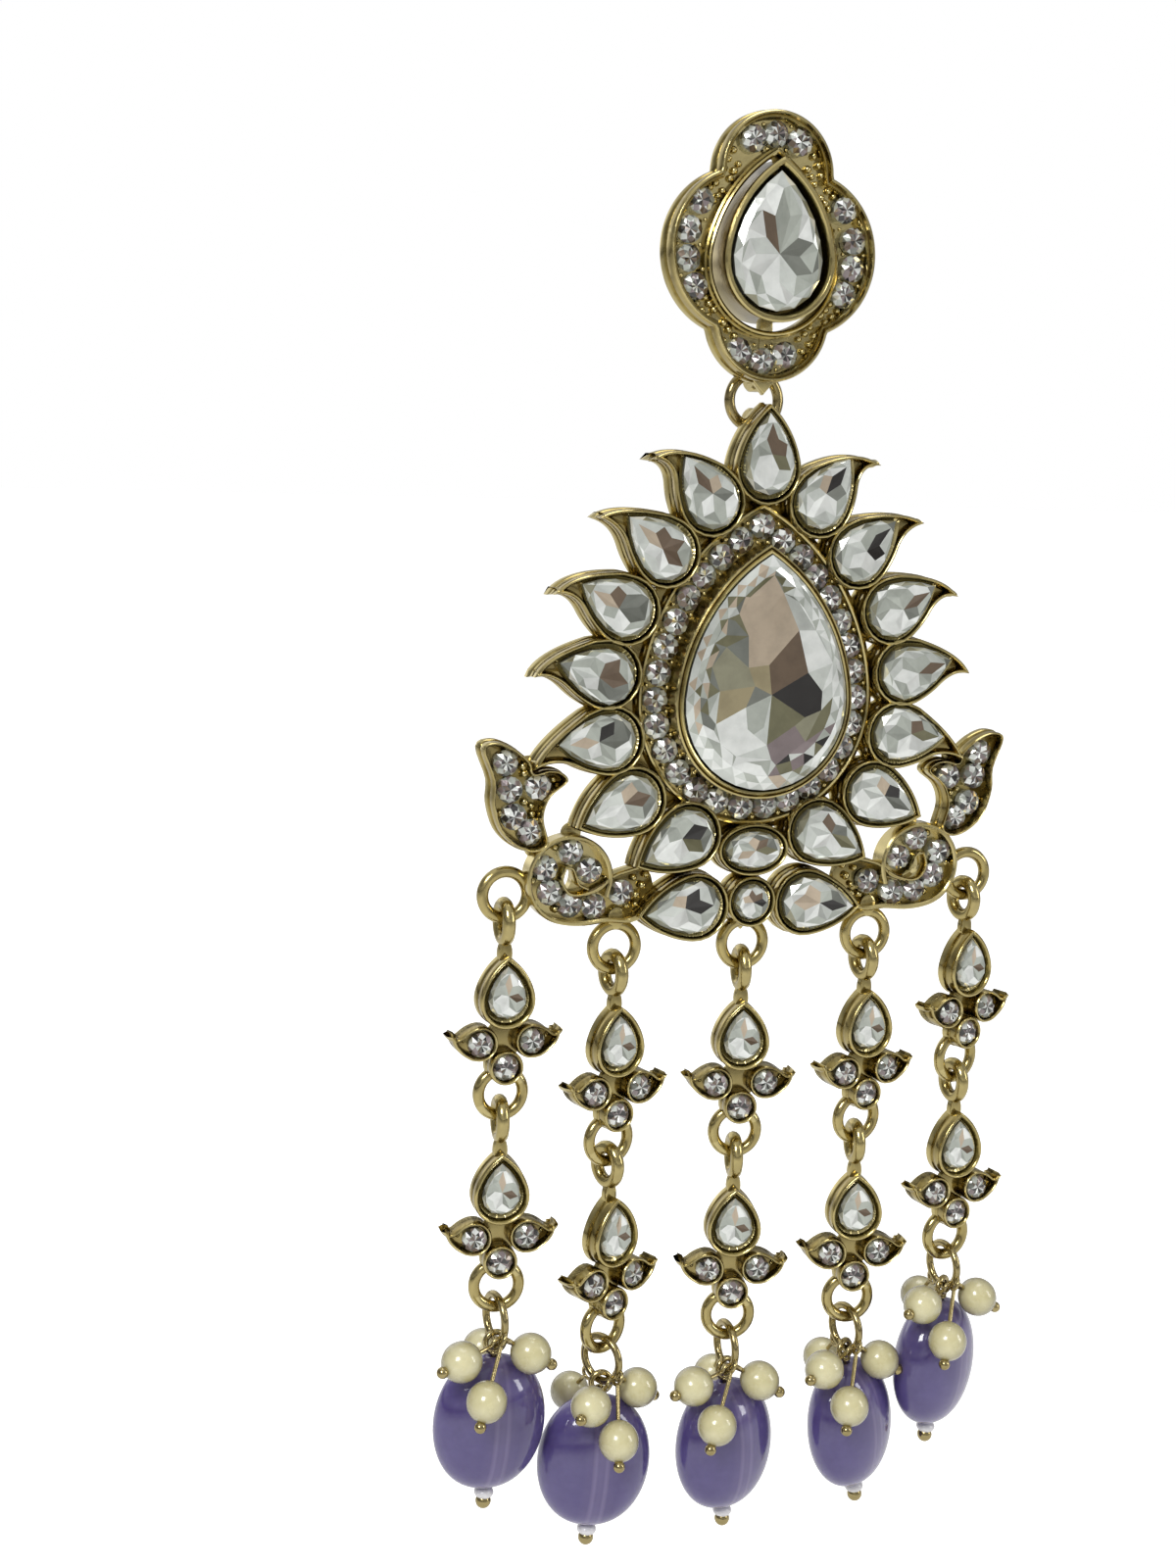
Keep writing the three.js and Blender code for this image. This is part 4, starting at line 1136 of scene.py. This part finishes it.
def link_models():
    """One cast link about the centre of the ring it hangs from, and its stones."""
    casting, pave = Model(), Model()
    back, floor, front = LINK["back"], LINK["floor"], LINK["front"]
    cup, leaf, loop, size = LINK["cup"], LINK["leaf"], LINK_LOOP, LINK["stone"]
    hoop(casting, (0, 0, -loop["drop"]), loop["radius"], (1, 0, 0), loop["wire"], steps=40, stretch=1.12)
    hoop(casting, (0, 0, -LINK_PITCH), LINK_RING["radius"], (0, 1, 0), LINK_RING["wire"])
    outside = sized_pear(cup, 20, z=-cup["drop"])
    plate(casting, outside, back, floor)
    wall(casting, outside, back + 0.1, front, 0.5, 0.04)
    plate(casting, ellipse(1.1, 2.2, 0, -cup["drop"] + cup["length"] / 2, 20), back + 0.2, 0.6, 0.15)
    plate(casting, ellipse(2.6, 3.4, 0, -leaf["drop"] - 0.05, 24), back + 0.14, 0.45)
    shape = mirrored(hooked_pear(*(leaf[key] for key in ("width", "length", "shoulder", "reach", "hook"))))
    right = placed(shape, leaf["turn"], leaf["x"], -leaf["drop"])
    dice = random.Random(71)
    for points, x in ((right, leaf["stone"]), (mirrored(right), -leaf["stone"])):
        plate(casting, points, back + 0.04, floor + 0.3, 0.1)
        wall(casting, points, back + 0.1, front - 0.1, 0.4, 0)
        small_stone(pave, x, -leaf["drop"], floor + 0.3, 1.85, dice, 0.85)
        for dx, dz in ((1.2, 0.25), (1.55, 0.5)):
            ball(casting, (x + math.copysign(dx, x), -(floor + 0.35), -leaf["drop"] + dz), 0.17)
    radius, drop = LINK["round"]["radius"], LINK["round"]["drop"]
    disc = ellipse(2 * radius, 2 * radius, 0, -drop, 32)
    plate(casting, disc, back + 0.07, floor + 0.25)
    wall(casting, disc, back + 0.1, front, 0.42, 0.03)
    small_stone(pave, 0, -drop, floor + 0.3, PAVE, dice, 0.95)
    serrated_ledge(casting, sized_pear(size, 20, (-0.4, -0.5), -cup["drop"]), 1.0, 0.3, 0.12)
    points = sized_pear(size, 24, (0.1, 0.1), -cup["drop"])
    stone = big_stone(points, size["back"], size["front"], 7, 40, (0, -0.2))
    return {"casting": casting, "stone": stone, "pave": pave}


def shared_piece(meshes, part, name, model, look, slot, nodes, matrix, **shading):
    """Puts a part in place: as a new mesh the first time, and as the same mesh after that."""
    if part in meshes:
        placed_piece(name, meshes[part], DROP_BODY, slot, nodes, matrix)
    else:
        meshes[part] = piece(name, model, look, DROP_BODY, slot, nodes, matrix, **shading).data


def links():
    models = link_models()
    parts = [
        ("casting", GOLD, "antique_gold", "link"),
        ("stone", CRYSTAL, "crystal", "link_stone"),
        ("pave", PASTE, "crystal", None),
    ]
    meshes = {}
    for name, x, z, upper, lower, *_ in STRANDS:
        for place, turn, drop in (("upper", upper, 0), ("lower", lower, LINK_PITCH)):
            origin = Vector((x, -STRAND_FORWARD, z + FRAME_Z - drop)) * MM
            matrix = Matrix.Translation(origin) @ Matrix.Rotation(math.radians(turn), 4, "Z")
            for part, look, slot, node in parts:
                nodes = [f"{node}_{name}_{place}"] if node else []
                title = f"link_{part}_{name}_{place}_fine"
                smooth = part == "casting"
                shared_piece(meshes, part, title, models[part], look, slot, nodes, matrix, smooth=smooth)


def pearl_models():
    """The wire ring, the pearls' pins with their small loops and ball ends, and the pearls themselves."""
    wires, pearls = Model(), Model()
    radius, drop = WIRE_RING["radius"], WIRE_RING["drop"]
    hoop(wires, (0, 0, -drop), radius, (1, 0, 0), WIRE_RING["wire"])
    for x, forward, fall, start in PEARLS:
        angle = math.radians(start)
        ring_point = Vector((0, -radius * math.sin(angle), -drop - radius * math.cos(angle)))
        middle = Vector((x, -forward, -fall))
        way = (middle - ring_point).normalized()
        loop_middle = ring_point + way * 0.35
        side = way.cross(Vector((1, 0, 0))).normalized()
        loop = [loop_middle + way * 0.55 * math.cos(t) + side * 0.5 * math.sin(t) for t in turns(20)]
        tube(wires, loop, 0.15, 7, closed=True)
        tube(wires, [loop_middle + way * 0.5, middle - way * 0.8, middle, middle + way * 1.6], 0.16, 8)
        round_end(wires, middle + way * (PEARL_RADIUS + 0.35), way, 0.45, 0.45, 0.2, 9, 14)
        round_end(pearls, middle, way, PEARL_RADIUS, 1.03 * PEARL_RADIUS, 0.14, 25, 32)
    return wires, pearls


def bead_models():
    """The flattened bead, its headpin with a loop above, and the white cap and ball end below it."""
    stone, pin, cap = Model(), Model(), Model()
    half, widest = BEAD["height"] / 2, BEAD["width"] / 2
    steps = np.linspace(-math.pi / 2 + 0.09, math.pi / 2 - 0.09, 40)
    profile = [(0.42, -half + 0.35), (0.45, -half + 0.1)]
    profile += [(max(0.5, widest * math.cos(a) ** 0.86), half * math.sin(a)) for a in steps]
    profile += [(0.45, half - 0.1), (0.42, half - 0.35)]
    flat = BEAD["thickness"] / BEAD["width"]
    around = [(math.cos(t), math.sin(t) * flat) for t in turns(64)]
    stone.rings([np.array([(r * x, r * y, h - BEAD["drop"]) for x, y in around]) for r, h in profile])
    loop_drop = BEAD_PIN["drop"]
    hoop(pin, (0, 0, -loop_drop), BEAD_PIN["loop"], (0, 1, 0), BEAD_PIN["wire"], 9, 28)
    top = -BEAD["drop"] + half
    coil = [
        (0.33 * math.cos(t), 0.33 * math.sin(t), top + 0.16 + 0.5 * t / (5 * math.pi))
        for t in np.linspace(0, 5 * math.pi, 50)
    ]
    tube(pin, coil, 0.13, 7)
    bottom = -BEAD["drop"] - half
    heights = (-loop_drop - BEAD_PIN["loop"], -8, bottom, bottom - 1.2)
    tube(pin, [(0, 0, height) for height in heights], 0.2, 8)
    length, r = BEAD_PIN["cap_length"], BEAD_PIN["ball"]
    cap_place, ball_place = (0, 0, bottom - 0.1 - length / 2), (0, 0, bottom - 0.1 - length - r / 2)
    round_end(cap, cap_place, (0, 0, -1), BEAD_PIN["cap"], length / 2 + 0.1, 0.3, 13, 24)
    round_end(pin, ball_place, (0, 0, -1), r, r, 0.15, 10, 16)
    return stone, pin, cap


def pendants():
    wires, pearls = pearl_models()
    stone, pin, cap = bead_models()
    parts = [
        ("pearl_wires", wires, WIRE, "gold_wire", "pearls"),
        ("pearl_balls", pearls, PEARL, "pearl", "pearls"),
        ("bead_drop", stone, LAVENDER, "lavender_bead", "bead"),
        ("bead_headpin", pin, WIRE, "gold_wire", "bead_pin"),
        ("bead_cap", cap, CAP, "white_bead", None),
    ]
    meshes = {}
    for name, x, z, _, _, pearl_turn, bead_turn, lean in STRANDS:
        origin = Vector((x, -STRAND_FORWARD, z + FRAME_Z - 2 * LINK_PITCH)) * MM
        hanging = Matrix.Translation(origin) @ Matrix.Rotation(math.radians(pearl_turn), 4, "Z")
        pivot = Vector((0, 0, -BEAD_PIN["drop"] * MM))
        leaning = (
            Matrix.Translation(origin + pivot)
            @ Matrix.Rotation(math.radians(lean), 4, "Y")
            @ Matrix.Rotation(math.radians(bead_turn), 4, "Z")
            @ Matrix.Translation(-pivot)
        )
        for part, model, look, slot, node in parts:
            matrix = hanging if node == "pearls" else leaning
            nodes = [f"{node}_{name}"] if node else []
            shared_piece(meshes, part, f"{part}_{name}", model, look, slot, nodes, matrix, sharp=60)


# ---- the stage ----


def floor_and_world():
    """A wide pale floor, and a world that looks white and has bands of light for reflections."""
    low, _ = cad_box
    half, height = 6.0, low.z - 0.03
    corners = [(x, y, height) for x, y in ((-half, -half), (half, -half), (half, half), (-half, half))]
    mesh = bpy.data.meshes.new("studio_floor")
    mesh.from_pydata(corners, [], [(0, 1, 2, 3)])
    floor = bpy.data.objects.new("studio_floor", mesh)
    bpy.context.scene.collection.objects.link(floor)
    look = new_look("studio_floor")
    to_camera = look.add("LightPath", "Is Camera Ray")
    mesh.materials.append(look.finished({
        "Base Color": look.ramp(look.noise(3), (0.3, (0.86, 0.86, 0.855)), (0.7, (0.88, 0.88, 0.875))),
        "Roughness": 0.8,
        "Emission Color": look.mixed(to_camera, (0.0, 0.0, 0.0), (0.7, 0.7, 0.7)),
        "Emission Strength": 1.0,
    }))

    bpy.context.scene.world = bpy.data.worlds.new("studio")
    studio = Nodes(bpy.context.scene.world, "Background")
    ends = {"From Min": -1, "From Max": 1}
    height_share, side_share = (
        studio.add("MapRange", "Result", {**ends, "Value": studio.part("Generated", axis)}) for axis in "ZX"
    )
    by_height = studio.ramp(
        height_share,
        (0.0, (0.20, 0.17, 0.14)), (0.3, (0.36, 0.33, 0.29)), (0.41, (0.66, 0.64, 0.60)),
        (0.46, (0.14, 0.12, 0.10)), (0.52, (0.16, 0.15, 0.14)), (0.57, 1.0), (0.67, 0.42), (1.0, 1.0),
    )
    by_side = studio.ramp(
        side_share, (0.0, 0.4), (0.18, 0.5), (0.32, 0.95), (0.5, 0.6), (0.66, 0.85), (0.8, 0.45), (1.0, 0.9)
    )
    around = studio.mixed(1.0, by_height, by_side, "MULTIPLY")
    to_camera = studio.add("LightPath", "Is Camera Ray")
    studio.finished({"Color": studio.mixed(to_camera, around, (1.0, 1.0, 1.0)), "Strength": 1.0})


def soft_light(name, place, size, power):
    data = bpy.data.lights.new(name, "AREA")
    data.shape = "RECTANGLE"
    data.size, data.size_y = size
    data.energy = power
    lamp = bpy.data.objects.new(name, data)
    bpy.context.scene.collection.objects.link(lamp)
    lamp.location = Vector(place) * MM
    lamp.rotation_euler = (Vector(LIGHTS_AIM) * MM - lamp.location).to_track_quat("-Z", "Y").to_euler()


def camera():
    data = bpy.data.cameras.new("camera")
    data.lens = CAMERA["lens"]
    data.sensor_width = 36
    data.clip_start, data.clip_end = 0.005, 20
    made = bpy.data.objects.new("camera", data)
    bpy.context.scene.collection.objects.link(made)
    turn = Matrix.Rotation(math.radians(CAMERA["turn"]), 4, "Z")
    tilt = Matrix.Rotation(math.radians(90 - CAMERA["down"]), 4, "X")
    roll = Matrix.Rotation(math.radians(CAMERA["roll"]), 4, "Z")
    made.matrix_world = Matrix.Translation(Vector(CAMERA["place"]) * MM) @ turn @ tilt @ roll
    bpy.context.scene.camera = made


camera()
floor_and_world()
soft_light("key", (-260, -260, 220), (0.14, 0.14), 0.9)
soft_light("fill", (300, -200, 60), (0.06, 0.2), 0.22)
soft_light("top", (40, 60, 330), (0.2, 0.2), 0.4)
soft_light("back", (-60, 380, 60), (0.3, 0.3), 0.16)
bpy.context.scene.view_settings.view_transform = "Standard"

stud()
ear_post()
jump_ring()
main_frame()
centre_stone()
links()
pendants()
